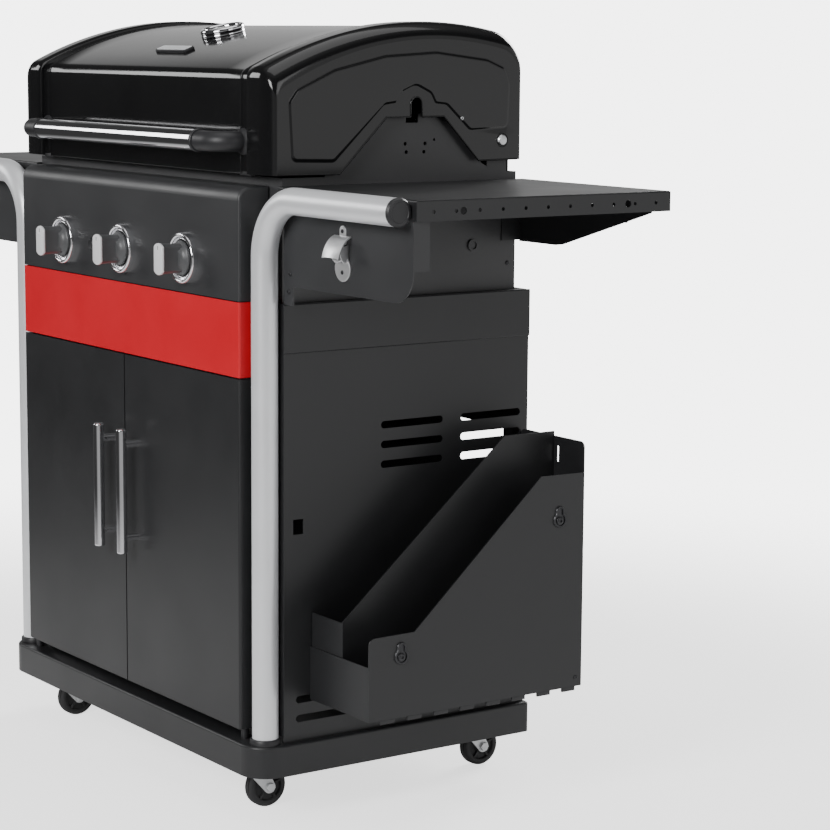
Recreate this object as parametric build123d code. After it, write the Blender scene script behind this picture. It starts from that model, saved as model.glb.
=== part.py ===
from build123d import *
import os

# Cabinet gas barbecue on four casters.
# Frame: origin on the floor under the middle of the grill, +X to its right side as a
# person sees it from the front, the front faces -Y, +Z up. Millimetres throughout.

# ---- driving dimensions -------------------------------------------------------------
sheet = 2.0                # thickness of the folded steel panels
gap = 0.3                  # least clearance between pieces that move past each other
fit = 0.05                 # radial clearance of a shaft in its bore

wheel_r = 31.0             # caster wheel
wheel_w = 20.0
trail = 23.0               # how far the axle lies behind the swivel
swivel_x = 302.0
swivel_front = -178.2
swivel_rear = 210.8

base_half = 398.0          # base tray
base_front = -228.0
base_rear = 260.4
base_low = 71.0
base_top = 117.4
curb_top = 127.0           # upstand that carries the cabinet sides

panel_half = 389.0         # outer faces of the cabinet sides
panel_front = -176.2
panel_rear = 255.0
trim_low = 681.0
trim_top = 751.0
trim_proud = 2.5

tube_r = 19.0              # bent tube: corner post and side rail in one piece
post_x = 369.5
post_y = -195.7
rail_z = 899.2
rail_bend = 83.0
rail_end = 697.0
cap_thick = 6.0

front_y = -219.8           # common plane of doors, band and control panel
front_half = 339.5
front_depth = 49.0
front_corner = 4.0
door_low = 133.5
door_top = 642.0
door_depth = 20.0
band_low = 644.5
console_low = 753.0
console_top = 914.0

knob_pitch = 189.3
knob_z = 803.3
knob_front = -265.2
knob_base_y = -224.6
button_x = -94.6

fire_half = 372.0          # firebox
fire_front = -168.0
fire_rear = 240.0
fire_low = 756.0
fire_rim = 926.0
skirt_low = 742.0
grate_z = 893.0
tent_z = 848.0

shelf_in = 374.0           # side shelves
shelf_out = 712.0
shelf_front = -176.0
shelf_rear = 251.0
shelf_top = 915.0
shelf_low = 887.0

lid_half = 383.0           # lid
lid_low = 930.0
lid_front = -195.0
lid_rear = 247.0
lid_apex_y = 85.0
lid_apex_z = 1144.5
lid_arc = 601.0
lid_step = 6.0             # how far the skin lies inside the end caps
cap_inner_x = 320.0
pivot_y = 204.5
pivot_z = 973.0
lid_back_low = 1000.0

bin_out = 541.0            # holder that hangs on the right cabinet side
bin_front = -132.0
bin_rear = 245.0
bin_low = 177.0


# ---- small helpers ------------------------------------------------------------------
def block(x, y, z):
    """A box from three (low, high) pairs."""
    size = Box(x[1] - x[0], y[1] - y[0], z[1] - z[0])
    return Pos((x[0] + x[1]) / 2, (y[0] + y[1]) / 2, (z[0] + z[1]) / 2) * size


def rod_x(r, x0, x1, y, z):
    """A round bar along X."""
    return Pos((x0 + x1) / 2, y, z) * Rot(0, 90, 0) * Cylinder(r, x1 - x0)


def rod_y(r, y0, y1, x, z):
    """A round bar along Y."""
    return Pos(x, (y0 + y1) / 2, z) * Rot(90, 0, 0) * Cylinder(r, y1 - y0)


def rod_z(r, z0, z1, x, y):
    """A round bar along Z."""
    return Pos(x, y, (z0 + z1) / 2) * Cylinder(r, z1 - z0)


def outline(points):
    """A flat face from its corner points."""
    return make_face(Polyline(*points, close=True))


def along_x(face, x0, x1):
    """A (y, z) face carried from x0 to x1."""
    return extrude(Plane.YZ.offset(x0) * face, x1 - x0, dir=(1, 0, 0))


def along_y(face, y0, y1):
    """An (x, z) face carried from y0 to y1."""
    return extrude(Plane.XZ.offset(-y0) * face, y1 - y0, dir=(0, 1, 0))


def along_z(face, z0, z1):
    """An (x, y) face carried from z0 to z1."""
    return extrude(Plane.XY.offset(z0) * face, z1 - z0, dir=(0, 0, 1))


def mirrored(shape):
    """The same piece on the other side of the grill."""
    return mirror(shape, about=Plane.YZ)


def both(shape):
    """A piece and its mirror image, as a list of separate solids."""
    return [shape, mirrored(shape)]


def save(name, *shapes):
    """Write one node; several shapes stay separate solids in it."""
    solids = [solid for shape in shapes for solid in shape.solids()]
    export_step(solids[0] if len(solids) == 1 else Compound(children=solids), f"parts/{name}.step")


# ---- casters ------------------------------------------------------------------------
crown_low = 2 * wheel_r + 2.5
crown_top = base_low - 1.0
stem_r = 5.5
stem_top = 112.0
cheek_in = wheel_w / 2 + 1.5
cheek_out = cheek_in + 2.0
axle_r = 4.0


def caster_fork(x, y):
    """Crown, stem and two tapering cheeks, with the axle and its nuts across them."""
    side = make_hull(
        (Pos(trail, wheel_r) * Circle(9)).edges() + (Pos(0, crown_low) * Rectangle(34, 2)).edges()
    )
    fork = along_x(side, cheek_in, cheek_out) + along_x(side, -cheek_out, -cheek_in)
    fork += rod_z(18, crown_low, crown_top, 0, 0)
    fork += rod_z(stem_r, crown_top, stem_top, 0, 0)
    fork -= rod_x(axle_r, -20, 20, trail, wheel_r)
    axle = rod_x(axle_r, -cheek_out - 5, cheek_out + 5, trail, wheel_r)
    for side_of in (-1, 1):
        nut = RegularPolygon(6.5, 6)
        start = side_of * cheek_out if side_of > 0 else -cheek_out - 5
        axle += along_x(Pos(trail, wheel_r) * nut, start, start + 5)
    place = Pos(x, y, 0)
    return place * fork, place * axle


def caster_wheel(x, y):
    """Ribbed wheel with a rounded tread."""
    wheel = rod_x(wheel_r, -wheel_w / 2, wheel_w / 2, trail, wheel_r)
    wheel = fillet(wheel.edges().filter_by(GeomType.CIRCLE), 3)
    dish = rod_x(22, 6, 12, trail, wheel_r) - rod_x(9, 5, 13, trail, wheel_r)
    for turn in (90, 210, 330):
        rib = Pos(9, trail, wheel_r) * Rot(turn, 0, 0) * Pos(0, 0, 14) * Box(8, 5, 20)
        dish -= rib
    wheel -= dish
    wheel -= mirrored(dish)
    wheel -= rod_x(axle_r + fit, -wheel_w, wheel_w, trail, wheel_r)
    return Pos(x, y, 0) * wheel


def caster_sleeve(x, y):
    """Socket under the base tray that the caster stem turns in."""
    return rod_z(9, base_low + 2, base_top - sheet, x, y) - rod_z(stem_r + fit, base_low, base_top, x, y)


caster_places = {
    "front_right": (swivel_x, swivel_front),
    "front_left": (-swivel_x, swivel_front),
    "rear_right": (swivel_x, swivel_rear),
    "rear_left": (-swivel_x, swivel_rear),
}


# ---- cart ---------------------------------------------------------------------------
tank_x = -150.0
tank_y = 20.0
tank_r = 102.0


def base_outline(inset):
    """Base tray in plan: large round corners in front, small ones behind."""
    half = base_half - inset
    front = base_front + inset
    rear = base_rear - inset
    face = outline([(-half, front), (half, front), (half, rear), (-half, rear)])
    corners = face.vertices().sort_by(Axis.Y)
    face = fillet(corners[:2], 42 - inset)
    return fillet(face.vertices().sort_by(Axis.Y)[-2:], 8 - inset)


def make_base_tray():
    """Folded tray, open below, with curbs for the cabinet and a well for the gas bottle."""
    tray = along_z(base_outline(0), base_low, base_top)
    tray = fillet(tray.edges().group_by(Axis.Z)[-1], 4)
    tray -= along_z(base_outline(sheet), base_low, base_top - sheet)
    curb_x = panel_half - sheet
    for side in (-1, 1):
        curb = sorted((side * (curb_x - sheet), side * curb_x))
        tray += block(curb, (panel_front, panel_rear - 1), (base_top - 1, curb_top))
    tray += block((-345, 345), (-192, -190), (base_top - 1, curb_top))
    tray += block((-curb_x, curb_x), (panel_rear - 3, panel_rear - 1), (base_top - 1, curb_top))
    for x, y in caster_places.values():
        tray += caster_sleeve(x, y)
        tray -= rod_z(stem_r + fit, base_low, stem_top + 1, x, y)
    tray -= rod_z(tank_r, base_low, base_top + 5, tank_x, tank_y)
    ring = rod_z(tank_r + 2, base_top - sheet, base_top + 12, tank_x, tank_y)
    tray += ring - rod_z(tank_r, base_low, base_top + 20, tank_x, tank_y)
    return tray


vent_h = 11.0
vent_len = 110.0
vent_columns = (-156.0, -11.0, 131.0)
vent_rows_high = (567.0, 538.0, 509.0)
vent_rows_low = (179.0, 151.0)


def make_side_panel():
    """Right cabinet side with its vent slots and folded edges."""
    panel = block((panel_half - sheet, panel_half), (panel_front, panel_rear), (curb_top, trim_low + 20))
    panel += block((341, panel_half), (panel_front, panel_front + sheet), (curb_top, trim_top - sheet))
    panel += block((360, panel_half), (panel_rear - sheet, panel_rear), (curb_top, trim_low + 20))
    slot = SlotOverall(vent_len, vent_h)
    places = [(y, z) for y in vent_columns[1:] for z in vent_rows_high]
    places += [(y, z) for y in vent_columns for z in vent_rows_low]
    for y, z in places:
        panel -= along_x(Pos(y + vent_len / 2, z) * slot, panel_half - 5, panel_half + 5)
    latch_hole = block((panel_half - 5, panel_half + 5), (-160.7, -143.9), (421, 443))
    return panel - latch_hole


def make_side_trim():
    """Band along the top of the right cabinet side, folded in over the panel."""
    outer = panel_half + trim_proud
    trim = block((panel_half, outer), (panel_front - 1, panel_rear), (trim_low, trim_top))
    trim = fillet(trim.edges().filter_by(Axis.Y).group_by(Axis.X)[-1], 2)
    return trim + block((panel_half - 15, outer - 1), (panel_front, panel_rear - 5), (trim_top - sheet, trim_top))


tray_half = 214.0
tray_low = 736.3
tray_top = 752.0


def make_rear_panel():
    """Back of the cabinet: a sheet with a window at each side and a notch for the grease tray."""
    rear = block((-386, 386), (panel_rear - 4.5, panel_rear - 2.5), (curb_top, trim_top))
    for low, high in ((-335, -200), (200, 335)):
        rear -= block((low, high), (200, 300), (330, 536))
    return rear - block((-tray_half - 8, tray_half + 8), (200, 300), (tray_low - 4, trim_top + 5))


def front_outline(inset):
    """Plan of the front pieces: small outer corners, open behind."""
    half = front_half - inset
    front = front_y + inset
    rear = front_y + front_depth
    face = outline([(-half, front), (half, front), (half, rear), (-half, rear)])
    return fillet(face.vertices().sort_by(Axis.Y)[:2], front_corner - inset)


def make_front_band():
    """Coloured band across the front, with a flange below that holds the door pins."""
    band = along_z(front_outline(0), band_low, console_low - 1.5)
    band -= along_z(front_outline(sheet), band_low - 1, console_low)
    flange = block((-front_half + 4, front_half - 4), (front_y + 1, -180), (band_low, band_low + sheet))
    flange &= along_z(front_outline(0), band_low, console_low)
    return band + flange


console_round = 20.0


def rounded_console(inset, low):
    """Control panel block: a large round from its front to its top, and tight edges at its ends."""
    half = front_half - inset
    front = front_y + inset
    rear = front_y + front_depth
    top = console_top - inset
    side = outline([(front, low), (rear, low), (rear, top), (front, top)])
    corner = side.vertices().group_by(Axis.X)[0].sort_by(Axis.Y)[-1]
    part = along_x(fillet(corner, console_round - inset), -half, half)
    ends = part.faces().sort_by(Axis.X)
    edges = ends[0].edges() + ends[-1].edges()
    kept = [edge for edge in edges if edge.center().Z > low + 1 and edge.center().Y < rear - 1]
    return fillet(kept, front_corner - inset)


def make_control_panel():
    """Folded panel that carries the knobs."""
    panel = rounded_console(0, console_low) - rounded_console(sheet, console_low - 1)
    for x in (-knob_pitch, 0, knob_pitch):
        panel -= rod_y(10, front_y - 5, front_y + 5, x, knob_z)
    return panel - rod_y(9, front_y - 5, front_y + 5, button_x, knob_z)


def make_post_rail():
    """Right front post that bends outwards at the top into the side rail."""
    path = FilletPolyline(
        (post_x, post_y, base_top), (post_x, post_y, rail_z), (rail_end, post_y, rail_z), radius=rail_bend
    )
    start = Plane(origin=(post_x, post_y, base_top), z_dir=(0, 0, 1))
    outer = sweep(start * Circle(tube_r), path=path)
    return outer - sweep(start * Circle(tube_r - sheet), path=path)


def make_rail_cap():
    """Plug with a round flange that closes the end of the rail."""
    plug = rod_x(tube_r - sheet - 0.1, rail_end - 18, rail_end, post_y, rail_z)
    disc = rod_x(tube_r, rail_end, rail_end + cap_thick, post_y, rail_z)
    return plug + fillet(disc.edges().group_by(Axis.X)[-1], 1.5)


hinge_x = 330.0
hinge_y = -206.0
pin_r = 3.0


def make_hinge_pin(top):
    """Door pivot: a shouldered pin on the base, or a plain pin under the band."""
    if top:
        return rod_z(pin_r, door_top - 8, band_low, hinge_x, hinge_y)
    shoulder = rod_z(6, base_top, door_low - gap, hinge_x, hinge_y)
    return shoulder + rod_z(pin_r, base_top, door_low + 8, hinge_x, hinge_y)


def make_magnet():
    """Right door catch, hung from the band's flange."""
    return block((8, 34), (front_y + door_depth + 0.5, -184), (618, band_low))


# ---- doors --------------------------------------------------------------------------
def make_door():
    """Right door: a shallow pan, open behind, pinned at its outer edge."""
    rear = front_y + door_depth
    door = along_z(front_outline(0), door_low, door_top)
    door -= along_z(front_outline(sheet), door_low + sheet, door_top - sheet)
    door &= block((1.5, front_half + 5), (front_y - 5, rear), (door_low, door_top))
    door += block((1.5, 1.5 + sheet), (front_y + 1, rear), (door_low, door_top))
    for low in (door_low - 1, door_top - sheet - 1):
        door -= rod_z(pin_r + fit, low, low + sheet + 2, hinge_x, hinge_y)
    return door


handle_x = 36.0
grip_y = -246.0


def make_door_handle():
    """Upright bar on two posts."""
    bar = rod_z(8, 342, 534, handle_x, grip_y)
    bar = fillet(bar.edges().filter_by(GeomType.CIRCLE), 3)
    for z in (366, 510):
        bar += rod_y(5.5, grip_y, front_y, handle_x, z)
    return bar


# ---- controls -----------------------------------------------------------------------
def make_bezel(x):
    """Dished ring around one knob."""
    ring = outline([
        (27.2, front_y), (37, front_y), (37, front_y - 2.5), (34, front_y - 9),
        (31, front_y - 11), (29.5, front_y - 10), (27.2, front_y - 3),
    ])
    return Pos(x, 0, knob_z) * revolve(ring, axis=Axis.Y)


def make_knob(x):
    """Round base with an upright grip bar, and the stem that reaches the valve."""
    base = rod_y(25.5, -237, knob_base_y, x, knob_z)
    base = fillet(base.edges().group_by(Axis.Y)[0], 3)
    bar = along_y(Pos(x, knob_z) * RectangleRounded(26, 46, 4), knob_front, -234)
    bar = fillet(bar.edges().group_by(Axis.Y)[0], 1.5)
    return base + bar + rod_y(4.0, knob_base_y - 3, -199, x, knob_z)


valve_front = -208.0
valve_bore_end = -194.0


def make_valve(x):
    """Tap body with a bore for the stem, a foot in the manifold and a jet towards the burner."""
    body = block((x - 14, x + 14), (valve_front, -182), (knob_z - 14, knob_z + 14))
    body = fillet(body.edges().filter_by(Axis.Y), 4)
    body += rod_z(4.5, manifold_z, knob_z - 10, x, manifold_y)
    body += rod_y(4, -184, -174, x, knob_z)
    return body - rod_y(8.1, valve_front - 1, valve_bore_end, x, knob_z)


def make_collar(x):
    """Sprung bush inside the tap that goes in when the knob is pushed."""
    return rod_y(8.05, valve_front + 1, -199, x, knob_z) - rod_y(4.0 + fit, -220, -190, x, knob_z)


def make_button():
    """Igniter push button."""
    button = rod_y(7.5, front_y - 7, -200, button_x, knob_z)
    return fillet(button.edges().group_by(Axis.Y)[0], 1.5)


def make_button_housing():
    """Igniter body behind the panel and its ring nut in front."""
    nut = rod_y(13, front_y - 3.5, front_y, button_x, knob_z)
    barrel = rod_y(8.9, front_y - 3.5, -205, button_x, knob_z)
    body = rod_y(14, -216, -178, button_x, knob_z)
    housing = nut + barrel + body
    return housing - rod_y(7.6, front_y - 10, -192, button_x, knob_z)


# ---- gas train and firebox ----------------------------------------------------------
manifold_y = -194.0
manifold_z = 778.0
burner_r = 16.0


def make_manifold():
    """Supply pipe under the taps, with a hexagonal inlet fitting on its right end."""
    pipe = rod_x(8, -225, 250, manifold_y, manifold_z) - rod_x(6, -222, 260, manifold_y, manifold_z)
    nut = Pos(manifold_y, manifold_z) * (RegularPolygon(12, 6) - Circle(6))
    pipe += along_x(nut, 246, 262)
    thread = Pos(manifold_y, manifold_z) * (Circle(7.5) - Circle(5))
    pipe += along_x(thread, 260, 280)
    for x in (-knob_pitch, 0, knob_pitch):
        pipe -= rod_z(4.6, manifold_z, manifold_z + 12, x, manifold_y)
    return pipe


def make_burner(x):
    """Tube burner with a narrower neck through the firebox wall and a row of ports."""
    tube = rod_y(burner_r, -150, 212, x, knob_z)
    tube = fillet(tube.edges().group_by(Axis.Y)[-1], 6)
    tube += rod_y(11, -178, -148, x, knob_z)
    tube -= rod_y(9, -180, -120, x, knob_z)
    for side in (-1, 1):
        port = block((x + side * 15 - 1.5, x + side * 15 + 1.5), (-120, 190), (knob_z - 1, knob_z + 1))
        tube -= port
    return tube


def hill(inset):
    """Side outline of the firebox end wall, which rises under the lid."""
    return outline([
        (fire_front, fire_low), (fire_rear, fire_low), (fire_rear, fire_rim), (222, fire_rim),
        (222, pivot_z), (187, pivot_z), (187, fire_rim + 8), (176, 940 - inset), (110, 1014 - inset),
        (-12, 1014 - inset), (-98, fire_rim), (fire_front, fire_rim),
    ])


def make_end_wall():
    """Right end of the firebox with the lid ear, the spit notch and small holes."""
    wall = along_x(hill(0), fire_half - sheet, fire_half)
    wall += rod_x(17.5, fire_half - sheet, fire_half, pivot_y, pivot_z)
    wall -= rod_x(4.0 + fit, 300, 400, pivot_y, pivot_z)
    wall -= block((300, 400), (41, 62), (1000, 1050))
    for y, z, r in ((40, 970, 2.8), (42, 958, 2.8), (75, 970, 2.8), (73, 958, 2.8), (91, 975, 2.2)):
        wall -= rod_x(r, 300, 400, y, z)
    wall += block((fire_half - sheet, fire_half), (fire_front, fire_rear), (skirt_low, fire_low + 1))
    boss = rod_x(9, fire_half - 1, fire_half + 3, 161.5, 819)
    return wall + boss - rod_x(6, fire_half + 1, fire_half + 5, 161.5, 819)


def make_firebox():
    """Open tub with a back shield, ledges for grates and flame covers, and grease tray runners."""
    inner = fire_half - 1
    tub = make_end_wall() + mirrored(make_end_wall())
    tub += block((-inner, inner), (fire_front, fire_front + sheet), (fire_low, fire_rim))
    tub += block((-inner, inner), (fire_rear - sheet, fire_rear), (fire_low, fire_rim))
    tub += block((-inner, inner), (fire_front, fire_rear), (fire_low, fire_low + sheet))
    tub -= block((-190, 190), (-60, 130), (fire_low - 5, fire_low + 5))
    shield_y = fire_rear - 12
    tub += block((-366, 366), (shield_y, fire_rear), (fire_rim - sheet, fire_rim))
    tub += block((-366, 366), (shield_y, shield_y + sheet), (fire_rim - sheet, lid_back_low + 4))
    for z, depth in ((grate_z, 14), (tent_z, 12)):
        tub += block((-inner, inner), (fire_front, fire_front + depth), (z - sheet, z))
        tub += block((-inner, inner), (fire_rear - depth, fire_rear), (z - sheet, z))
    for x in (-knob_pitch, 0, knob_pitch):
        tub -= rod_y(12.5, fire_front - 5, fire_front + 5, x, knob_z)
        tub += block((x - 12, x + 12), (200, fire_rear), (knob_z - burner_r - sheet, knob_z - burner_r))
    for side in (-1, 1):
        web = sorted((side * (tray_half + 1), side * (tray_half + 3)))
        lip = sorted((side * (tray_half - 10), side * (tray_half + 3)))
        tub += block(web, (-90, fire_rear), (tray_low - gap - sheet, fire_low + 1))
        tub += block(lip, (-90, fire_rear), (tray_low - gap - sheet, tray_low - gap))
    return tub


def make_grease_tray():
    """Shallow pan that slides out at the back."""
    pan = block((-tray_half, tray_half), (-86, 258), (tray_low, tray_top))
    pan -= block((-tray_half + sheet, tray_half - sheet), (-84, 256), (tray_low + sheet, tray_top + 5))
    return pan + block((-60, 60), (256, 264), (tray_top - sheet, tray_top))


def make_flame_cover(x):
    """Folded roof over one burner."""
    roof = outline([
        (x - 60, tent_z), (x, tent_z + 32), (x + 60, tent_z),
        (x + 60, tent_z + 2.2), (x, tent_z + 34.4), (x - 60, tent_z + 2.2),
    ])
    return along_y(roof, fire_front + 4, fire_rear - 4)


grate_w = 243.0


def make_grate(x):
    """Cast cooking grate: bars front to back on three cross bars."""
    front, rear = fire_front + 5, fire_rear - 5
    half = grate_w / 2 - 0.7
    grate = block((x - half, x + half), (front, front + 8), (grate_z, grate_z + 11))
    grate += block((x - half, x + half), (rear - 8, rear), (grate_z, grate_z + 11))
    grate += block((x - half, x + half), (32, 40), (grate_z, grate_z + 8))
    count = 12
    for index in range(count):
        at = x - half + 4 + index * (2 * half - 8) / (count - 1)
        grate += block((at - 3.5, at + 3.5), (front, rear), (grate_z + 1, grate_z + 12))
    return grate


def make_warming_rack():
    """Wire shelf on two bent legs at the back of the firebox."""
    rack = rod_x(3, -345, 345, 105, 1000) + rod_x(3, -345, 345, 178, 1000)
    for index in range(24):
        rack += rod_y(2, 104, 179, -345 + index * 690 / 23, 1000)
    for x in (-345, 345):
        rack += rod_z(3, grate_z + 12, 1000, x, 105)
        rack += rod_z(3, grate_z + 12, 1000, x, 178)
    return rack


# ---- shelves ------------------------------------------------------------------------
small_holes = (-149, -113, -75, -37, 0.5, 38, 75.5, 113, 150.5, 188, 225)
large_holes = (-101.4, 175.7)


def make_shelf():
    """Right shelf: a folded tray upside down, with hanging holes in its outer flange."""
    shelf = block((shelf_in, shelf_out), (shelf_front, shelf_rear), (shelf_low, shelf_top))
    shelf = fillet(shelf.edges().group_by(Axis.Z)[-1], 2.5)
    shelf -= block((shelf_in - 1, shelf_out - sheet), (shelf_front + sheet, shelf_rear - sheet),
                   (shelf_low - 1, shelf_top - sheet))
    for y in small_holes:
        shelf -= rod_x(2.6, shelf_out - 5, shelf_out + 5, y, 899.5)
    for y in large_holes:
        shelf -= rod_x(5.2, shelf_out - 5, shelf_out + 5, y, 899.5)
    return shelf


fascia_low = 778.0
fascia_out = 705.0


def make_fascia():
    """Plate under the front of the right shelf, with a folded outer end."""
    plate = outline([
        (panel_half, fascia_low), (fascia_out, fascia_low), (fascia_out, shelf_low), (panel_half, shelf_low)
    ])
    corner = plate.vertices().sort_by(Axis.Y)[:2].sort_by(Axis.X)[-1]
    plate = fillet(corner, 44)
    fascia = along_y(plate, -175.8, -173.8)
    fascia += block((fascia_out - sheet, fascia_out), (-175.8, -150), (fascia_low + 44, shelf_low))
    return fascia + block((panel_half, panel_half + 24), (-175.8, -173.8), (trim_top, fascia_low + 5))


def make_shelf_bracket():
    """Gusset under the back of the right shelf, with a foot on the firebox."""
    web = outline([(374, 822), (462, 822), (478, 824), (676, 882), (676, 887), (374, 887)])
    bracket = along_y(web, shelf_rear - 4.5, shelf_rear - 2.5)
    return bracket + block((fire_half, 374), (214, fire_rear + 8.5), (824, 886))


def make_bottle_opener():
    """Curved hood with a screw tab above and a claw below."""
    x = 541.0
    face = -175.8
    tab = along_y(Pos(x, 858.5) * SlotOverall(26, 15, rotation=90), face - 2, face)
    hood = outline([(face, 858), (face - 9, 855), (face - 17, 848), (face - 22, 840), (face - 24.5, 831),
                    (face - 22.5, 831), (face - 20, 839), (face - 15.5, 846.5), (face - 8, 853), (face, 855.5)])
    plate = along_x(hood, x - 20.5, x + 20.5)
    claw = block((x - 9, x + 9), (face - 12, face), (824, 827))
    lower = outline([(x - 19, 795), (x + 19, 795), (x + 19, 818), (x + 11, 830), (x - 11, 830), (x - 19, 818)])
    claw += along_y(lower & (Pos(x, 814.5) * Circle(18.5)), face - 2, face)
    tab -= rod_y(2.5, face - 10, face + 5, x, 864)
    return tab + plate, claw


# ---- holder on the right side -------------------------------------------------------
bin_in = panel_half + 0.2
bin_divide = 470.0


def make_holder_shell():
    """Box for accessories: sloping outer side, tall back, low front, floor with drain tabs."""
    side = outline([
        (bin_front, bin_low), (bin_rear, bin_low), (bin_rear, 496), (166, 497), (-55, 297), (bin_front, 296)
    ])
    side = fillet(side.vertices().group_by(Axis.X)[0].sort_by(Axis.Y)[-1], 10)
    back = outline([(bin_in, bin_low), (bin_out, bin_low), (bin_out, 541), (bin_in, 541)])
    back = fillet(back.vertices().sort_by(Axis.Y)[-2:], 9)
    shell = along_x(side, bin_out - sheet, bin_out)
    shell += along_y(back, bin_rear - sheet, bin_rear)
    shell += block((bin_in, bin_out), (bin_front, bin_front + sheet), (bin_low, 255))
    shell += block((bin_in, bin_out), (bin_front, bin_rear), (bin_low, bin_low + sheet))
    shell += block((bin_in, bin_in + sheet), (bin_front, bin_front + 20), (bin_low, 255))
    shell += block((bin_in, bin_in + sheet), (bin_rear - 20, bin_rear), (bin_low, 530))
    shell -= block((477, 482), (bin_rear - 5, bin_rear + 5), (503, 527))
    for index in range(6):
        y = bin_front + 35 + index * 58
        shell -= block((bin_out - 12, bin_out - 4), (y, y + 24), (bin_low - 1, bin_low + 5))
    return shell


def make_holder_divider():
    """Inner wall of the holder with a folded front edge."""
    low = bin_low + sheet
    rear = bin_rear - sheet
    front = bin_front + sheet
    wall = outline([(front, low), (rear, low), (rear, 548), (151, 548), (front + 3, 309), (front, 306)])
    divider = along_x(wall, bin_divide - 1, bin_divide + 1)
    return divider + block((bin_in + sheet, bin_divide), (front, front + sheet), (low, 305))


def make_keyhole(y, z):
    """Raised keyhole plate with its screw, on the holder's outer side."""
    shape = Pos(y, z) * Circle(10) + Pos(y, z + 13) * Circle(6.5)
    shape += Pos(y, z + 6) * Rectangle(13, 12)
    hole = Pos(y, z) * Circle(7.5) + Pos(y, z + 13) * Circle(4) + Pos(y, z + 6) * Rectangle(8, 12)
    rim = along_x(shape - hole, bin_out, bin_out + 2.5)
    screw = rod_x(3.5, bin_out, bin_out + 4, y, z - 2)
    return rim, screw


# ---- lid ----------------------------------------------------------------------------
def dome(inset, low=lid_low):
    """Side outline of the lid: upright front and back under one large arc."""
    radius = lid_arc - inset
    box = outline([
        (lid_front + inset, low), (lid_rear - inset, low), (lid_rear - inset, 1400), (lid_front + inset, 1400)
    ])
    face = box & (Pos(lid_apex_y, lid_apex_z - lid_arc) * Circle(radius))
    top = face.vertices().sort_by(Axis.Y)[-2:].sort_by(Axis.X)
    face = fillet(top[0], 20 - inset / 2)
    rear = face.vertices().sort_by(Axis.X)[-2:].sort_by(Axis.Y)[-1]
    return fillet(rear, 55 - inset)


def make_lid_skin():
    """Bent sheet that spans the two end caps, open below, stopping short at the back."""
    half = cap_inner_x + 8
    skin = along_x(dome(lid_step + 0.1), -half, half) - along_x(dome(lid_step + sheet, 900), -400, 400)
    skin -= block((-400, 400), (200, 300), (900, lid_back_low))
    return skin - on_gauge(Cylinder(4.4, 20))


def make_lid_cap():
    """Right cast end of the lid: a raised band, rounded into a flat side face."""
    outer = along_x(dome(0), cap_inner_x, lid_half)
    rounded = outer.faces().sort_by(Axis.X)[-1].edges()
    outer = fillet([edge for edge in rounded if edge.center().Z > lid_low + 1], 17)
    inner = along_x(dome(3, 900), cap_inner_x + 6, lid_half - 3)
    rounded = inner.faces().sort_by(Axis.X)[-1].edges()
    inner = fillet([edge for edge in rounded if edge.center().Z > 901], 15)
    cap = outer - inner - along_x(dome(lid_step, 900), cap_inner_x - 1, cap_inner_x + 7)
    cut = outline([(-80, 900), (-80, lid_low), (0, 1009), (100, 1009), (163, 944), (300, 944), (300, 900)])
    cap -= along_x(cut, 300, 400)
    cap -= along_x(Pos(51.5, 1016) * SlotOverall(44, 20, rotation=90), 370, 400)
    cap -= block((300, lid_half - 3), (236, 300), (900, lid_back_low))
    return cap - rod_x(4.0 + fit, 370, 400, pivot_y, pivot_z)


def make_pivot_bolt():
    """Right lid pivot: shoulder against the firebox ear, shaft through the lid, round head."""
    bolt = rod_x(4.0, fire_half - 8, lid_half + gap, pivot_y, pivot_z)
    bolt += rod_x(7, fire_half, lid_half - 3 - gap, pivot_y, pivot_z)
    head = rod_x(7.5, lid_half + gap, lid_half + 5, pivot_y, pivot_z)
    bolt += fillet(head.edges().group_by(Axis.X)[-1], 2)
    return bolt + rod_x(7, fire_half - 8, fire_half - sheet, pivot_y, pivot_z)


lid_grip_y = -229.0
lid_grip_z = 975.0
lid_grip_r = 15.5
lid_grip_half = 243.0
skin_front = lid_front + lid_step + 0.1


def make_lid_handle():
    """Round bar across the front of the lid."""
    return rod_x(lid_grip_r, -lid_grip_half, lid_grip_half, lid_grip_y, lid_grip_z)


def make_handle_arm():
    """Right end of the handle: curves back to the lid and ends in a flange."""
    foot_x = 303.0
    path = FilletPolyline(
        (lid_grip_half, lid_grip_y, lid_grip_z), (foot_x, lid_grip_y, lid_grip_z),
        (foot_x, skin_front - 3, lid_grip_z), radius=28
    )
    start = Plane(origin=(lid_grip_half, lid_grip_y, lid_grip_z), z_dir=(1, 0, 0))
    arm = sweep(start * Circle(14.5), path=path)
    return arm + rod_y(16, skin_front - 3, skin_front, foot_x, lid_grip_z)


gauge_y = -43.2
gauge_tilt = 12.4
skin_arc = lid_arc - lid_step


def on_gauge(shape):
    """Place a piece made around Z on the gauge axis, square to the lid's skin."""
    centre_z = lid_apex_z - lid_arc
    return Pos(0, lid_apex_y, centre_z) * Rot(gauge_tilt, 0, 0) * Pos(0, 0, skin_arc) * shape


def make_gauge_case():
    """Drum with the dial floor, a spindle, and the probe through the lid."""
    case = Cylinder(29, 8, align=(Align.CENTER, Align.CENTER, Align.MIN))
    case -= Pos(0, 0, 2.5) * Cylinder(27, 10, align=(Align.CENTER, Align.CENTER, Align.MIN))
    case += Cylinder(1.5, 4.5, align=(Align.CENTER, Align.CENTER, Align.MIN))
    probe = Cylinder(4, 48, align=(Align.CENTER, Align.CENTER, Align.MAX))
    return on_gauge(case + probe)


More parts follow.
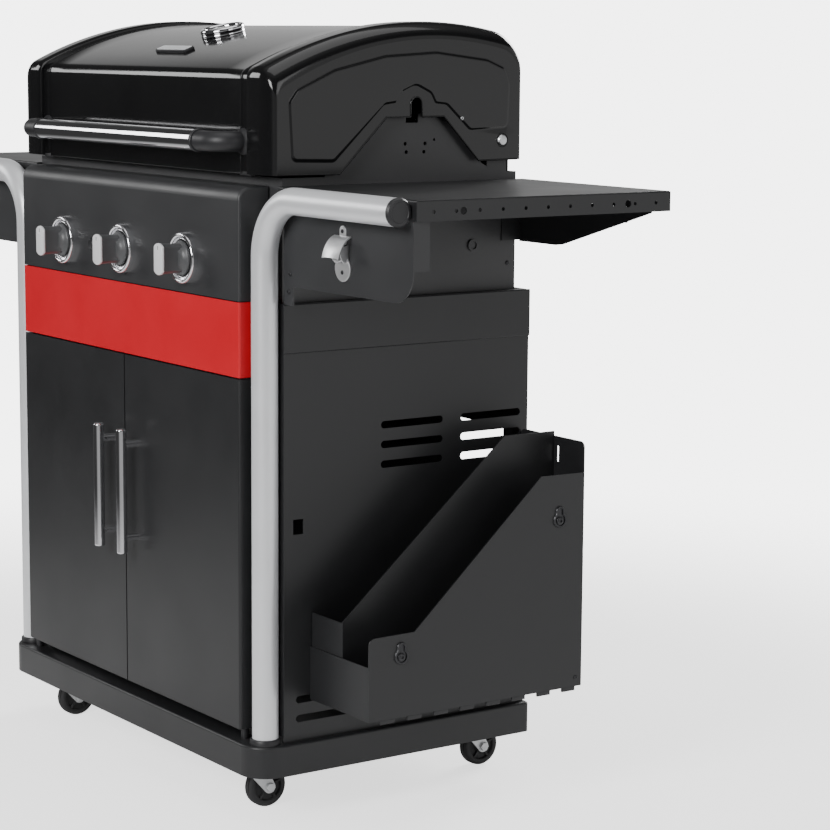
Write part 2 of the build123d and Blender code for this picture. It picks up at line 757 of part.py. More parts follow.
def make_gauge_bezel():
    """Domed ring that holds the gauge glass."""
    ring = outline([(29.1, 0), (33, 0), (33, 6), (31.5, 10), (28.5, 12), (25.5, 11.2), (25.5, 8.2), (29.1, 8.2)])
    return on_gauge(revolve(Plane.XZ * ring, axis=Axis.Z))


def make_gauge_needle():
    """Pointer that turns on the gauge spindle."""
    hub = Pos(0, 0, 3.2) * Cylinder(3.2, 1.2, align=(Align.CENTER, Align.CENTER, Align.MIN))
    hand = Pos(-10, 0, 3.2) * Box(18, 1.6, 1.0, align=(Align.CENTER, Align.CENTER, Align.MIN))
    hole = Cylinder(1.5 + fit, 12, align=(Align.CENTER, Align.CENTER, Align.MIN))
    return on_gauge(hub + hand - hole)


plate_y = -127.0
plate_tilt = 20.9


def make_lid_plate():
    """Plain plate on the front of the dome."""
    centre_z = lid_apex_z - lid_arc
    plate = fillet(Box(92, 20, 5, align=(Align.CENTER, Align.CENTER, Align.MIN)).edges().filter_by(Axis.Z), 5)
    return Pos(0, lid_apex_y, centre_z) * Rot(plate_tilt, 0, 0) * Pos(0, 0, skin_arc) * plate


# ---- write every node ---------------------------------------------------------------
def main():
    os.makedirs("parts", exist_ok=True)
    knob_places = {"right": knob_pitch, "middle": 0.0, "left": -knob_pitch}

    save("base_tray", make_base_tray())
    save("side_panel_right", make_side_panel())
    save("side_panel_left", mirrored(make_side_panel()))
    save("side_trims", *both(make_side_trim()))
    save("rear_panel", make_rear_panel())
    save("front_band", make_front_band())
    save("post_rail_right", make_post_rail())
    save("post_rail_left", mirrored(make_post_rail()))
    save("rail_caps", *both(make_rail_cap()))
    save("control_panel", make_control_panel())
    save("door_hinge_pins", *both(make_hinge_pin(False)), *both(make_hinge_pin(True)))
    save("door_magnets", *both(make_magnet()))

    for place, (x, y) in caster_places.items():
        save(f"caster_fork_{place}", *caster_fork(x, y))
        save(f"caster_wheel_{place}", caster_wheel(x, y))

    save("door_right", make_door())
    save("door_left", mirrored(make_door()))
    save("door_handle_right", make_door_handle())
    save("door_handle_left", mirrored(make_door_handle()))

    save("knob_bezels", *[make_bezel(x) for x in knob_places.values()])
    save("gas_valves", *[make_valve(x) for x in knob_places.values()])
    for place, x in knob_places.items():
        save(f"knob_{place}", make_knob(x))
        save(f"valve_collar_{place}", make_collar(x))
    save("igniter_button", make_button())
    save("igniter_housing", make_button_housing())

    save("gas_manifold", make_manifold())
    save("burners", *[make_burner(x) for x in knob_places.values()])
    save("firebox", make_firebox())
    save("grease_tray", make_grease_tray())
    save("flame_covers", *[make_flame_cover(x) for x in knob_places.values()])
    save("cooking_grates", *[make_grate(x) for x in (-grate_w, 0, grate_w)])
    save("warming_rack", make_warming_rack())

    save("shelf_right", make_shelf())
    save("shelf_left", mirrored(make_shelf()))
    save("shelf_fascias", *both(make_fascia()))
    save("shelf_brackets", *both(make_shelf_bracket()))
    save("bottle_opener", *make_bottle_opener())
    save("holder_shell", make_holder_shell())
    save("holder_divider", make_holder_divider())
    save("holder_keyholes", *make_keyhole(-78, 265), *make_keyhole(200, 430))

    save("lid_skin", make_lid_skin())
    save("lid_cap_right", make_lid_cap())
    save("lid_cap_left", mirrored(make_lid_cap()))
    save("lid_pivot_bolts", *both(make_pivot_bolt()))
    save("lid_handle", make_lid_handle())
    save("lid_handle_arms", *both(make_handle_arm()))
    save("gauge_case", make_gauge_case())
    save("gauge_bezel", make_gauge_bezel())
    save("gauge_needle", make_gauge_needle())
    save("lid_plate", make_lid_plate())


main()
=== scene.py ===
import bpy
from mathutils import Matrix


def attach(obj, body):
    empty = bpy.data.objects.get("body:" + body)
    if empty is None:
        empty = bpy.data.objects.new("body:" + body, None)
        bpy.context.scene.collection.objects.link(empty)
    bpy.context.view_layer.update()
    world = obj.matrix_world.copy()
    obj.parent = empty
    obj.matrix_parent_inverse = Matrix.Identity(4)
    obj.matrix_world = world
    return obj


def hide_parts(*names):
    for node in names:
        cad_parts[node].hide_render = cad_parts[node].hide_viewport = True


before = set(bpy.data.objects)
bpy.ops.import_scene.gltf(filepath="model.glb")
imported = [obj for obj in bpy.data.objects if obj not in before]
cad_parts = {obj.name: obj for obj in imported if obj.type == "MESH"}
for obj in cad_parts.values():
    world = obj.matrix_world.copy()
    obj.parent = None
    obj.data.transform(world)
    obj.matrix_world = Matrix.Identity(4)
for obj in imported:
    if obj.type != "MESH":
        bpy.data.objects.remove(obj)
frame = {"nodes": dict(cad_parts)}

"""Visual model of a cabinet gas barbecue grill on casters, with a domed lid and side shelves.

Every sub-assembly is a class that holds its own sizes in metres and builds its own pieces.
The shared frame is kept: +X to the grill's right seen from the front, the front faces -Y, +Z up.
"""
import logging
import math
from dataclasses import dataclass, field
from enum import Enum

import bmesh
import bpy
import numpy as np
from mathutils import Matrix, Vector
from mathutils.geometry import delaunay_2d_cdt

LOG = logging.getLogger("grill")
Array = np.ndarray
Pair = tuple[float, float]
Triple = tuple[float, float, float]
Socket = bpy.types.NodeSocket
MM = 0.001
WELD = 2e-6
SLIVER = 1e-7


# ---- surfaces -----------------------------------------------------------------------
@dataclass(frozen=True)
class Place:
    """A local frame that flat outlines and profiles are drawn in.

    Args:
        origin: where the local origin lies, in metres.
        u, v, w: the three local directions, w being the one things are raised along.
    """

    origin: Triple = (0.0, 0.0, 0.0)
    u: Triple = (1.0, 0.0, 0.0)
    v: Triple = (0.0, 1.0, 0.0)
    w: Triple = (0.0, 0.0, 1.0)

    def points(self, local: Array) -> Array:
        """Local (u, v, w) points in the shared frame.

        Args:
            local: array that ends in three coordinates.

        Returns:
            An array of the same shape.
        """
        return np.asarray(self.origin) + local @ np.array([self.u, self.v, self.w])

    @staticmethod
    def facing(axis: Triple, origin: Triple) -> "Place":
        """A frame whose w looks along an axis.

        Args:
            axis: direction of w, of any length.
            origin: the frame's origin.

        Returns:
            The frame, with u level where that is possible.
        """
        w = unit(np.asarray(axis, float))
        side = np.cross((0.0, 0.0, 1.0), w)
        u = np.array((1.0, 0.0, 0.0)) if np.linalg.norm(side) < 1e-6 else unit(side)
        return Place(tuple(origin), tuple(u), tuple(np.cross(w, u)), tuple(w))


def to_right(x: float, y: float, z: float) -> Place:
    """A frame at a point whose outlines are (y, z) and whose heights run along +X."""
    return Place((x, y, z), (0, 1, 0), (0, 0, 1), (1, 0, 0))


def to_front(x: float, y: float, z: float) -> Place:
    """A frame at a point whose outlines are (x, z) and whose heights run along -Y."""
    return Place((x, y, z), (1, 0, 0), (0, 0, 1), (0, -1, 0))


def mm(*points: Pair) -> Array:
    """Points given in millimetres, as an array in metres."""
    return np.array(points, float) * MM


def unit(vector: Array) -> Array:
    """A vector divided by its length."""
    return vector / np.linalg.norm(vector)


def at_level(line: Array, level: float) -> Array:
    """Flat (u, v) points with one height as their third coordinate."""
    return np.column_stack([line, np.full(len(line), level)])


def at_x(x: float, line: Array) -> Array:
    """Flat (y, z) points with one X before them."""
    return np.column_stack([np.full(len(line), x), line])


def turned(outline: Array, angle: float) -> Array:
    """An outline turned about the origin by an angle in radians."""
    return outline @ np.array([[math.cos(angle), math.sin(angle)], [-math.sin(angle), math.cos(angle)]])


def circle(radius: float, count: int = 48) -> Array:
    """Points round a circle, without repeating the first one.

    Args:
        radius: of the circle.
        count: how many points.

    Returns:
        (count, 2) points.
    """
    turn = np.linspace(0.0, 2 * math.pi, count, endpoint=False)
    return radius * np.stack([np.cos(turn), np.sin(turn)], axis=-1)


def arc(centre: Pair, radius: float, start: float, end: float, count: int) -> Array:
    """Points on an arc, both ends included.

    Args:
        centre, radius: of the circle.
        start, end: angles in radians.
        count: how many points.

    Returns:
        (count, 2) points.
    """
    turn = np.linspace(start, end, count)
    return np.asarray(centre) + radius * np.stack([np.cos(turn), np.sin(turn)], axis=-1)


def rounded(corners: Array, radii: Array | float, steps: int = 8) -> Array:
    """A closed outline with its corners rounded.

    Each corner is replaced by the arc that touches both of its sides at the distance
    radius / tan(half the corner's angle).

    Args:
        corners: (n, 2) corner points in order.
        radii: one radius, or one for each corner.
        steps: points on each arc.

    Returns:
        (n * steps, 2) points.
    """
    points = np.asarray(corners, float)
    radii = np.broadcast_to(np.asarray(radii, float), len(points))
    pieces = []
    for here, before, after, radius in zip(points, np.roll(points, 1, 0), np.roll(points, -1, 0), radii):
        back = unit(before - here)
        on = unit(after - here)
        half = math.acos(float(np.clip(back @ on, -1, 1))) / 2
        reach = max(radius, 1e-5) / math.tan(half)
        middle = unit(back + on)
        centre = here + middle * max(radius, 1e-5) / math.sin(half)
        first, last = here + back * reach - centre, here + on * reach - centre
        start = math.atan2(first[1], first[0])
        sweep_by = (math.atan2(last[1], last[0]) - start + math.pi) % (2 * math.pi) - math.pi
        pieces.append(arc(tuple(centre), max(radius, 1e-5), start, start + sweep_by, steps))
    return np.concatenate(pieces)


def box_outline(width: float, height: float, radius: float, steps: int = 8) -> Array:
    """A rectangle round the origin with equal round corners.

    Args:
        width, height: full sizes.
        radius: of the corners.
        steps: points on each corner.

    Returns:
        (4 * steps, 2) points.
    """
    x, y = width / 2, height / 2
    return rounded(np.array([(-x, -y), (x, -y), (x, y), (-x, y)]), radius, steps)


def inset(outline: Array, distance: float) -> Array:
    """A closed outline moved inwards.

    Each point moves along the mean of its two edge normals, divided by the cosine of half
    the turn, so straight edges move by the distance itself.

    Args:
        outline: (n, 2) points.
        distance: how far inwards; negative goes outwards.

    Returns:
        (n, 2) points.
    """
    edge = np.roll(outline, -1, 0) - outline
    area = np.sum(outline[:, 0] * np.roll(outline[:, 1], -1) - np.roll(outline[:, 0], -1) * outline[:, 1])
    edge = edge / np.maximum(np.linalg.norm(edge, axis=1, keepdims=True), 1e-9)
    normal = np.stack([-edge[:, 1], edge[:, 0]], axis=-1) * np.sign(area)
    mean = normal + np.roll(normal, 1, 0)
    mean = mean / np.maximum(np.linalg.norm(mean, axis=1, keepdims=True), 1e-9)
    share = np.clip(np.sum(mean * normal, axis=1, keepdims=True), 0.4, 1.0)
    return outline + mean * distance / share


def inside(points: Array, outline: Array) -> Array:
    """Which points lie in a closed outline, by counting the edges to their right.

    Args:
        points: (n, 2) points.
        outline: (m, 2) outline.

    Returns:
        (n,) truth values.
    """
    a, b = outline[None], np.roll(outline, -1, 0)[None]
    x, y = points[:, None, 0], points[:, None, 1]
    spans = (a[..., 1] > y) != (b[..., 1] > y)
    rise = np.where(np.abs(b[..., 1] - a[..., 1]) < 1e-12, 1e-12, b[..., 1] - a[..., 1])
    crossing = a[..., 0] + (y - a[..., 1]) * (b[..., 0] - a[..., 0]) / rise
    return np.sum(spans & (x < crossing), axis=1) % 2 == 1


@dataclass
class Skin:
    """A closed surface that grows by patches; its seams are welded when it becomes an object.

    Whatever adds a patch returns the skin itself.
    """

    points: list[Array] = field(default_factory=list)
    faces: list[list[int]] = field(default_factory=list)
    count: int = 0

    def add(self, points: Array, faces: Array | list) -> "Skin":
        """Adds points and faces.

        Args:
            points: (n, 3) points.
            faces: face corners, counted from this patch's first point.
        """
        shifted = (np.asarray(faces) + self.count).tolist()
        self.points.append(points.reshape(-1, 3))
        self.faces.extend(shifted)
        self.count += len(self.points[-1])
        return self

    def grid(self, points: Array, close_u: bool = False, close_v: bool = False) -> "Skin":
        """Adds a sheet of four-sided faces.

        Args:
            points: (u, v, 3) points.
            close_u, close_v: whether the last row or column joins the first.
        """
        rows, columns = points.shape[:2]
        index = np.arange(rows * columns).reshape(rows, columns)
        if close_u:
            index = np.concatenate([index, index[:1]])
        if close_v:
            index = np.concatenate([index, index[:, :1]], axis=1)
        faces = np.stack([index[:-1, :-1], index[1:, :-1], index[1:, 1:], index[:-1, 1:]], axis=-1)
        return self.add(points, faces.reshape(-1, 4))

    def cap(self, ring: Array) -> "Skin":
        """Closes a flat ring with one face.

        Args:
            ring: (n, 3) points.
        """
        return self.add(ring, [list(range(len(ring)))])

    def tube(self, rings: Array) -> "Skin":
        """Adds a closed body through flat rings, with both ends capped.

        Args:
            rings: (rings, points, 3) points.
        """
        return self.grid(rings, close_v=True).cap(rings[0]).cap(rings[-1])

    def thick(self, sheet: Array, depth: float) -> "Skin":
        """Adds a sheet of some thickness, closed along all its edges.

        The inner side lies at the given depth against the normal, which is the cross
        product of the two directions along the sheet.

        Args:
            sheet: (u, v, 3) points.
            depth: thickness.
        """
        normal = np.cross(np.gradient(sheet, axis=0), np.gradient(sheet, axis=1))
        normal /= np.maximum(np.linalg.norm(normal, axis=-1, keepdims=True), 1e-12)
        other = sheet - normal * depth
        self.grid(np.concatenate([sheet, other[:, ::-1]], axis=1), close_v=True)
        return self.grid(np.stack([sheet[0], other[0]])).grid(np.stack([sheet[-1], other[-1]]))

    def lathe(self, profile: Array, place: Place, count: int = 64, closed: bool = False) -> "Skin":
        """Turns a profile about the place's w axis.

        Args:
            profile: (n, 2) points, each a radius and a height along w. An open profile
                starts and ends on the axis.
            place: the frame.
            count: points round the axis.
            closed: whether the profile is a closed ring.
        """
        profile = np.asarray(profile, float)
        round_ = circle(1.0, count)
        local = np.concatenate(
            [
                profile[:, None, :1] * round_[None],
                np.broadcast_to(profile[:, None, 1:], (len(profile), count, 1))
            ],
            axis=-1,
        )
        return self.grid(place.points(local), close_u=closed, close_v=True)

    def slab(self, outline: Array, low: float, high: float, place: Place, bevel: float = 0.0) -> "Skin":
        """A flat piece with rounded edges.

        The edge is a quarter circle: at the angle a the outline lies inwards by
        bevel * (1 - cos a) and upwards by bevel * sin a.

        Args:
            outline: (n, 2) closed outline.
            low, high: its two levels along w.
            place: the frame.
            bevel: radius of the edges.
        """
        turns = np.linspace(math.pi / 2, 0.0, 4) if bevel else np.zeros(1)
        insets = bevel * (1 - np.cos(turns))
        levels = np.concatenate([
            low + bevel * (1 - np.sin(turns)), (high - bevel * (1 - np.sin(turns)))[::-1]
        ])
        flat = [inset(outline, float(step)) for step in np.concatenate([insets, insets[::-1]])]
        local = np.concatenate(
            [np.stack(flat), np.broadcast_to(levels[:, None, None], (len(levels), len(outline), 1))], -1
        )
        return self.tube(place.points(local))

    def sweep(self, path: Array, outline: Array, across: Triple, closed_ends: bool = True) -> "Skin":
        """Carries a ring along a flat path.

        Args:
            path: (n, 3) points in one plane.
            outline: (m, 2) ring, its first direction along the plane's normal.
            across: normal of the path's plane.
            closed_ends: whether both ends are capped.
        """
        along = np.gradient(path, axis=0)
        along /= np.linalg.norm(along, axis=1, keepdims=True)
        first = np.broadcast_to(np.asarray(across, float), along.shape)
        second = np.cross(along, first)
        rings = path[:, None] + outline[None, :, :1] * first[:, None] + outline[None, :, 1:] * second[:, None]
        return self.tube(rings) if closed_ends else self.grid(rings, close_v=True)

    def relief(
        self, outline: Array, contours: list[tuple[Array, Array]], holes: list[Array], depth: float,
        place: Place
    ) -> "Skin":
        """A plate with holes whose face rises and falls along contour lines.

        The face is triangulated between all the lines, so it is flat wherever the lines
        round a region have one height.

        Args:
            outline: (n, 2) outer outline, at height 0.
            contours: (line, heights) pairs, each line closed.
            holes: closed outlines that are left open.
            depth: thickness of the plate below height 0.
            place: the frame.
        """
        lines = [(outline, np.zeros(len(outline))), *contours]
        lines += [(hole, np.zeros(len(hole))) for hole in holes]
        flat = np.concatenate([line for line, _ in lines])
        height = np.concatenate([np.broadcast_to(rise, len(line)) for line, rise in lines])
        edges, start = [], 0
        for line, _ in lines:
            index = np.arange(len(line)) + start
            edges.extend(np.stack([index, np.roll(index, -1)], axis=-1).tolist())
            start += len(line)
        found = delaunay_2d_cdt([Vector(point) for point in flat], edges, [], 1, 1e-7)
        at = np.array([tuple(point) for point in found[0]])
        rise = np.array([height[source[0]] if source else 0.0 for source in found[3]])
        faces = np.array([list(face) for face in found[2]])
        centre = at[faces].mean(axis=1)
        keep = inside(centre, outline)
        for hole in holes:
            keep &= ~inside(centre, hole)
        faces = faces[keep]
        self.add(place.points(np.column_stack([at, rise])), faces)
        self.add(place.points(at_level(at, -depth)), faces[:, ::-1])
        for line in [outline, *holes]:
            wall = np.stack([at_level(line, level) for level in (0.0, -depth)])
            self.grid(place.points(wall), close_v=True)
        return self


def mirror_x(skin: Skin) -> Skin:
    """The same surface on the other side of the grill.

    Args:
        skin: the surface.

    Returns:
        A new surface.
    """
    return Skin(
        [points * np.array([-1.0, 1.0, 1.0]) for points in skin.points], [face[::-1] for face in skin.faces],
        skin.count
    )


def join(*skins: Skin) -> Skin:
    """Several surfaces as one.

    Args:
        skins: the surfaces.

    Returns:
        A new surface.
    """
    whole = Skin()
    for skin in skins:
        for points in skin.points:
            whole.points.append(points)
        whole.faces.extend([[corner + whole.count for corner in face] for face in skin.faces])
        whole.count += skin.count
    return whole


def both_sides(skin: Skin) -> Skin:
    """The surface together with its mirror image."""
    return join(skin, mirror_x(skin))


def bent(points: list[Triple], radius: float, steps: int = 24) -> Array:
    """A path of straight runs with round bends.

    Args:
        points: the corners of the path.
        radius: of each bend.
        steps: points on each bend.

    Returns:
        (n, 3) points.
    """
    corner = np.asarray(points, float)
    path = [corner[:1]]
    for before, here, after in zip(corner[:-2], corner[1:-1], corner[2:]):
        back = unit(before - here)
        on = unit(after - here)
        half = math.acos(float(back @ on)) / 2
        centre = here + unit(back + on) * radius / math.sin(half)
        start = here + back * radius / math.tan(half) - centre
        end = here + on * radius / math.tan(half) - centre
        share = np.linspace(0.0, 1.0, steps)[:, None]
        turn = math.pi - 2 * half
        path.append(
            centre + (np.sin((1 - share) * turn) * start + np.sin(share * turn) * end) / math.sin(turn)
        )
    path.append(corner[-1:])
    return np.concatenate(path)


# ---- finishes -----------------------------------------------------------------------
def feed(tree: bpy.types.NodeTree, node: bpy.types.Node, inputs: dict) -> None:
    """Sets the inputs of a node.

    Args:
        tree: the node tree.
        node: the node.
        inputs: for each input, its value or the socket that it is linked to.
    """
    for name, value in inputs.items():
        if isinstance(value, Socket):
            tree.links.new(value, node.inputs[name])
        else:
            node.inputs[name].default_value = value


def add_node(
    tree: bpy.types.NodeTree, kind: str, inputs: dict | None = None, operation: str = ""
) -> bpy.types.Node:
    """Adds a shader node.

    Args:
        tree: the node tree.
        kind: its type, without the leading "ShaderNode".
        inputs: for each input, its value or the socket that it is linked to.
        operation: of a mathematics node.

    Returns:
        The node.
    """
    node = tree.nodes.new("ShaderNode" + kind)
    if operation:
        node.operation = operation
    feed(tree, node, inputs or {})
    return node


def smooth_ramp(tree: bpy.types.NodeTree, value: Socket, levels: tuple) -> Socket:
    """A smooth change of a value between two levels.

    Args:
        tree: the node tree.
        value: what is followed.
        levels: where the change starts and ends, and the result at the start and the end.

    Returns:
        The result.
    """
    names = ("From Min", "From Max", "To Min", "To Max")
    node = add_node(tree, "MapRange", {"Value": value, **dict(zip(names, levels))})
    node.interpolation_type = "SMOOTHSTEP"
    return node.outputs["Result"]


class Grain(Enum):
    """How the fine structure of a finish is laid."""

    EVEN = (1.0, 1.0, 1.0)
    ALONG_X = (0.02, 1.0, 1.0)
    ALONG_Y = (1.0, 0.02, 1.0)
    ALONG_Z = (1.0, 1.0, 0.02)


@dataclass(frozen=True)
class Finish:
    """A paint, metal, plastic or rubber with fine structure and slow changes.

    Args:
        name: of the material.
        slot: the record's material slot; not used.
        colour: linear base colour.
        metallic, roughness: of the shader.
        spread: how far the roughness wanders to either side.
        mottle: how far the colour wanders, as a share.
        grain: size of the fine structure, in metres.
        depth: height of the fine structure, in metres.
        lay: its direction.
        clear: transmission, for glass.
        blotch: size of the slow changes, in metres.
        anisotropy: how far the highlights are drawn out.
        slow_share: weight of the slow changes in the colour; the fine structure has the rest.
    """

    name: str
    slot: str
    colour: Triple
    metallic: float = 0.0
    roughness: float = 0.4
    spread: float = 0.04
    mottle: float = 0.06
    grain: float = 0.0006
    depth: float = 0.00003
    lay: Grain = Grain.EVEN
    clear: float = 0.0
    blotch: float = 0.12
    anisotropy: float = 0.0
    slow_share: float = 0.65

    def build(self) -> bpy.types.Material:
        """Makes the material, or returns it if it exists.

        Returns:
            The material.
        """
        found = bpy.data.materials.get(self.name)
        if found:
            return found
        material = bpy.data.materials.new(self.name)
        material.use_nodes = True
        tree = material.node_tree
        place = add_node(tree, "TexCoord").outputs["Object"]
        slow = add_node(
            tree, "TexNoise", {"Scale": 1 / self.blotch, "Detail": 4.0, "Vector": place}
        ).outputs["Fac"]
        rough = add_node(tree, "MapRange", {
            "From Min": 0.3, "From Max": 0.7, "To Min": max(self.roughness - self.spread, 0.01),
            "To Max": min(self.roughness + self.spread, 1.0), "Value": slow,
        })
        stretch = add_node(tree, "Mapping", {"Scale": self.lay.value, "Vector": place})
        fine = add_node(
            tree, "TexNoise", {"Scale": 1 / self.grain, "Detail": 3.0, "Vector": stretch.outputs["Vector"]}
        ).outputs["Fac"]
        slow_part = add_node(tree, "Math", {0: slow, 1: self.slow_share}, "MULTIPLY")
        both = add_node(
            tree, "Math", {0: fine, 1: 1 - self.slow_share, 2: slow_part.outputs[0]}, "MULTIPLY_ADD"
        )
        ramp = add_node(tree, "ValToRGB", {"Fac": both.outputs[0]})
        dark = tuple(channel * (1 - self.mottle) for channel in self.colour)
        light = tuple(min(channel * (1 + self.mottle) + 0.002, 1.0) for channel in self.colour)
        for stop, colour, position in zip(ramp.color_ramp.elements, (dark, light), (0.35, 0.68)):
            stop.color = (*colour, 1.0)
            stop.position = position
        bump = add_node(tree, "Bump", {"Strength": 0.6, "Distance": self.depth, "Height": fine})
        feed(tree, tree.nodes["Principled BSDF"], {
            "Metallic": self.metallic, "Transmission Weight": self.clear, "Anisotropic": self.anisotropy,
            "Roughness": rough.outputs["Result"], "Base Color": ramp.outputs["Color"],
            "Normal": bump.outputs["Normal"],
        })
        return material


class Finishes:
    """All the finishes of the grill."""

    ENAMEL = Finish(
        "gloss_enamel", "lid_enamel", (0.006, 0.006, 0.0065), roughness=0.12, spread=0.02, grain=0.003,
        depth=0.000006, mottle=0.03
    )
    PANEL = Finish(
        "satin_powder_coat", "panel_paint", (0.0155, 0.0158, 0.0170), roughness=0.40, grain=0.0007,
        depth=0.00002
    )
    CONSOLE = Finish(
        "graphite_powder_coat", "panel_paint", (0.032, 0.0325, 0.0345), roughness=0.40, grain=0.0007,
        depth=0.00002
    )
    BAND = Finish(
        "red_powder_coat", "band_red", (0.66, 0.006, 0.017), roughness=0.36, grain=0.0007, depth=0.00002,
        mottle=0.04
    )
    SILVER = Finish(
        "silver_powder_coat", "silver_paint", (0.86, 0.87, 0.89), metallic=0.35, roughness=0.36, grain=0.0005,
        depth=0.00002, mottle=0.04
    )
    CHROME = Finish(
        "bright_chrome", "chrome_trim", (0.80, 0.80, 0.82), metallic=1.0, roughness=0.06, spread=0.02,
        grain=0.004, depth=0.000004, mottle=0.02
    )
    BEZEL = Finish(
        "satin_chrome", "chrome_trim", (0.90, 0.90, 0.92), metallic=1.0, roughness=0.12, spread=0.03,
        grain=0.004, depth=0.000004, mottle=0.02
    )
    OPENER = Finish(
        "brushed_nickel", "chrome_trim", (0.86, 0.86, 0.87), metallic=0.8, roughness=0.34, spread=0.04,
        grain=0.0008, depth=0.000006, mottle=0.02, lay=Grain.ALONG_Z
    )
    BOLT = Finish(
        "blackened_steel", "plated_steel", (0.045, 0.045, 0.048), metallic=0.6, roughness=0.38, grain=0.0008,
        depth=0.00001
    )
    FORK = Finish(
        "light_zinc_plate", "plated_steel", (0.70, 0.71, 0.72), metallic=0.55, roughness=0.36, spread=0.06,
        grain=0.0010, depth=0.00001, mottle=0.05, blotch=0.02
    )
    ZINC = Finish(
        "zinc_plate", "plated_steel", (0.60, 0.61, 0.62), metallic=1.0, roughness=0.30, spread=0.08,
        grain=0.0012, depth=0.00001, mottle=0.08, blotch=0.02
    )
    PLASTIC = Finish(
        "grained_plastic", "black_plastic", (0.018, 0.018, 0.020), roughness=0.45, grain=0.0009, depth=0.00004
    )
    KNOB = Finish(
        "knob_plastic_grey", "knob_plastic", (0.085, 0.087, 0.090), roughness=0.38, grain=0.0008,
        depth=0.00002
    )
    KNOB_FACE = Finish(
        "knob_face_silver", "knob_plastic", (0.82, 0.82, 0.83), metallic=0.0, roughness=0.26, grain=0.0005,
        depth=0.00001, mottle=0.02
    )
    RUBBER = Finish(
        "wheel_rubber", "tyre_rubber", (0.020, 0.020, 0.021), roughness=0.62, grain=0.0011, depth=0.00008,
        mottle=0.2, blotch=0.02
    )
    STAINLESS = Finish(
        "brushed_stainless", "stainless", (0.55, 0.54, 0.52), metallic=1.0, roughness=0.30, spread=0.08,
        grain=0.0006, depth=0.00001, lay=Grain.ALONG_Y, anisotropy=0.5
    )
    GRATE = Finish(
        "cast_enamel", "cast_grate", (0.022, 0.021, 0.020), roughness=0.50, spread=0.1, grain=0.0016,
        depth=0.00018, mottle=0.3, blotch=0.03
    )
    FIREBOX = Finish(
        "stove_paint", "firebox_paint", (0.040, 0.040, 0.042), roughness=0.38, spread=0.07, grain=0.0009,
        depth=0.00003, mottle=0.1
    )
    BRASS = Finish(
        "machined_brass", "brass_tap", (0.70, 0.50, 0.20), metallic=1.0, roughness=0.28, spread=0.08,
        grain=0.0005, depth=0.00001
    )
    WIRE = Finish(
        "bright_wire", "wire_chrome", (0.68, 0.68, 0.70), metallic=1.0, roughness=0.16, spread=0.06,
        grain=0.0008, depth=0.00001
    )
    DIAL = Finish(
        "dial_white", "dial_face", (0.78, 0.78, 0.76), roughness=0.35, grain=0.0004, depth=0.000005,
        mottle=0.02
    )
    INK = Finish("dial_ink", "dial_face", (0.015, 0.015, 0.016), roughness=0.45, grain=0.0004, depth=0.000005)
    NEEDLE = Finish(
        "pointer_red", "needle_red", (0.55, 0.02, 0.02), roughness=0.3, grain=0.0004, depth=0.000005
    )
    GLASS = Finish(
        "gauge_glass", "dial_face", (0.95, 0.97, 0.96), roughness=0.02, spread=0.01, mottle=0.0, grain=0.004,
        depth=0.0000001, clear=1.0
    )


@dataclass(frozen=True)
class Piece:
    """A finished object of the visual model.

    Args:
        name: of the object.
        finish: its finish.
        body: the moving body it rides on.
        stands_for: CAD nodes that it replaces.
        sharp: edges that turn by more than this many degrees stay sharp.
    """

    name: str
    finish: Finish
    body: str = "cart"
    stands_for: tuple[str, ...] = ()
    sharp: float = 38.0

    def make(self, skin: Skin) -> bpy.types.Object:
        """Welds a surface into an object, finishes it and fixes it to its body.

        Args:
            skin: the surface.

        Returns:
            The object.
        """
        mesh = bpy.data.meshes.new(self.name)
        mesh.from_pydata(np.concatenate(skin.points).tolist(), [], skin.faces)
        work = bmesh.new()
        work.from_mesh(mesh)
        bmesh.ops.remove_doubles(work, verts=work.verts, dist=WELD)
        bmesh.ops.dissolve_degenerate(work, edges=work.edges, dist=SLIVER)
        bmesh.ops.recalc_face_normals(work, faces=work.faces)
        work.to_mesh(mesh)
        work.free()
        mesh.polygons.foreach_set("use_smooth", np.ones(len(mesh.polygons), bool))
        mesh.set_sharp_from_angle(angle=math.radians(self.sharp))
        mesh.materials.append(self.finish.build())
        thing = bpy.data.objects.new(self.name, mesh)
        bpy.context.scene.collection.objects.link(thing)
        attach(thing, self.body)
        if self.stands_for:
            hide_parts(*self.stands_for)
        LOG.info("%s: %d faces", self.name, len(mesh.polygons))
        return thing


def screw_head(skin: Skin, place: Place, radius: float, height: float) -> None:
    """A pan head with a round socket.

    The head is a low dome: its radius falls as the cosine while its height rises as the sine.

    Args:
        skin: the surface it is added to.
        place: where it sits, w pointing out.
        radius, height: of the head.
    """
    turn = np.linspace(0.0, math.radians(68), 7)
    dome = np.stack([radius * np.cos(turn), height * (0.35 + 0.65 * np.sin(turn))], axis=-1)
    hollow = radius * 0.36
    rim = np.array([(hollow, dome[-1, 1]), (hollow * 0.8, height * 0.45), (0.0, height * 0.4)])
    skin.lathe(np.concatenate([[(0.0, -0.0002), (radius, -0.0002)], dome, rim]), place, 24)


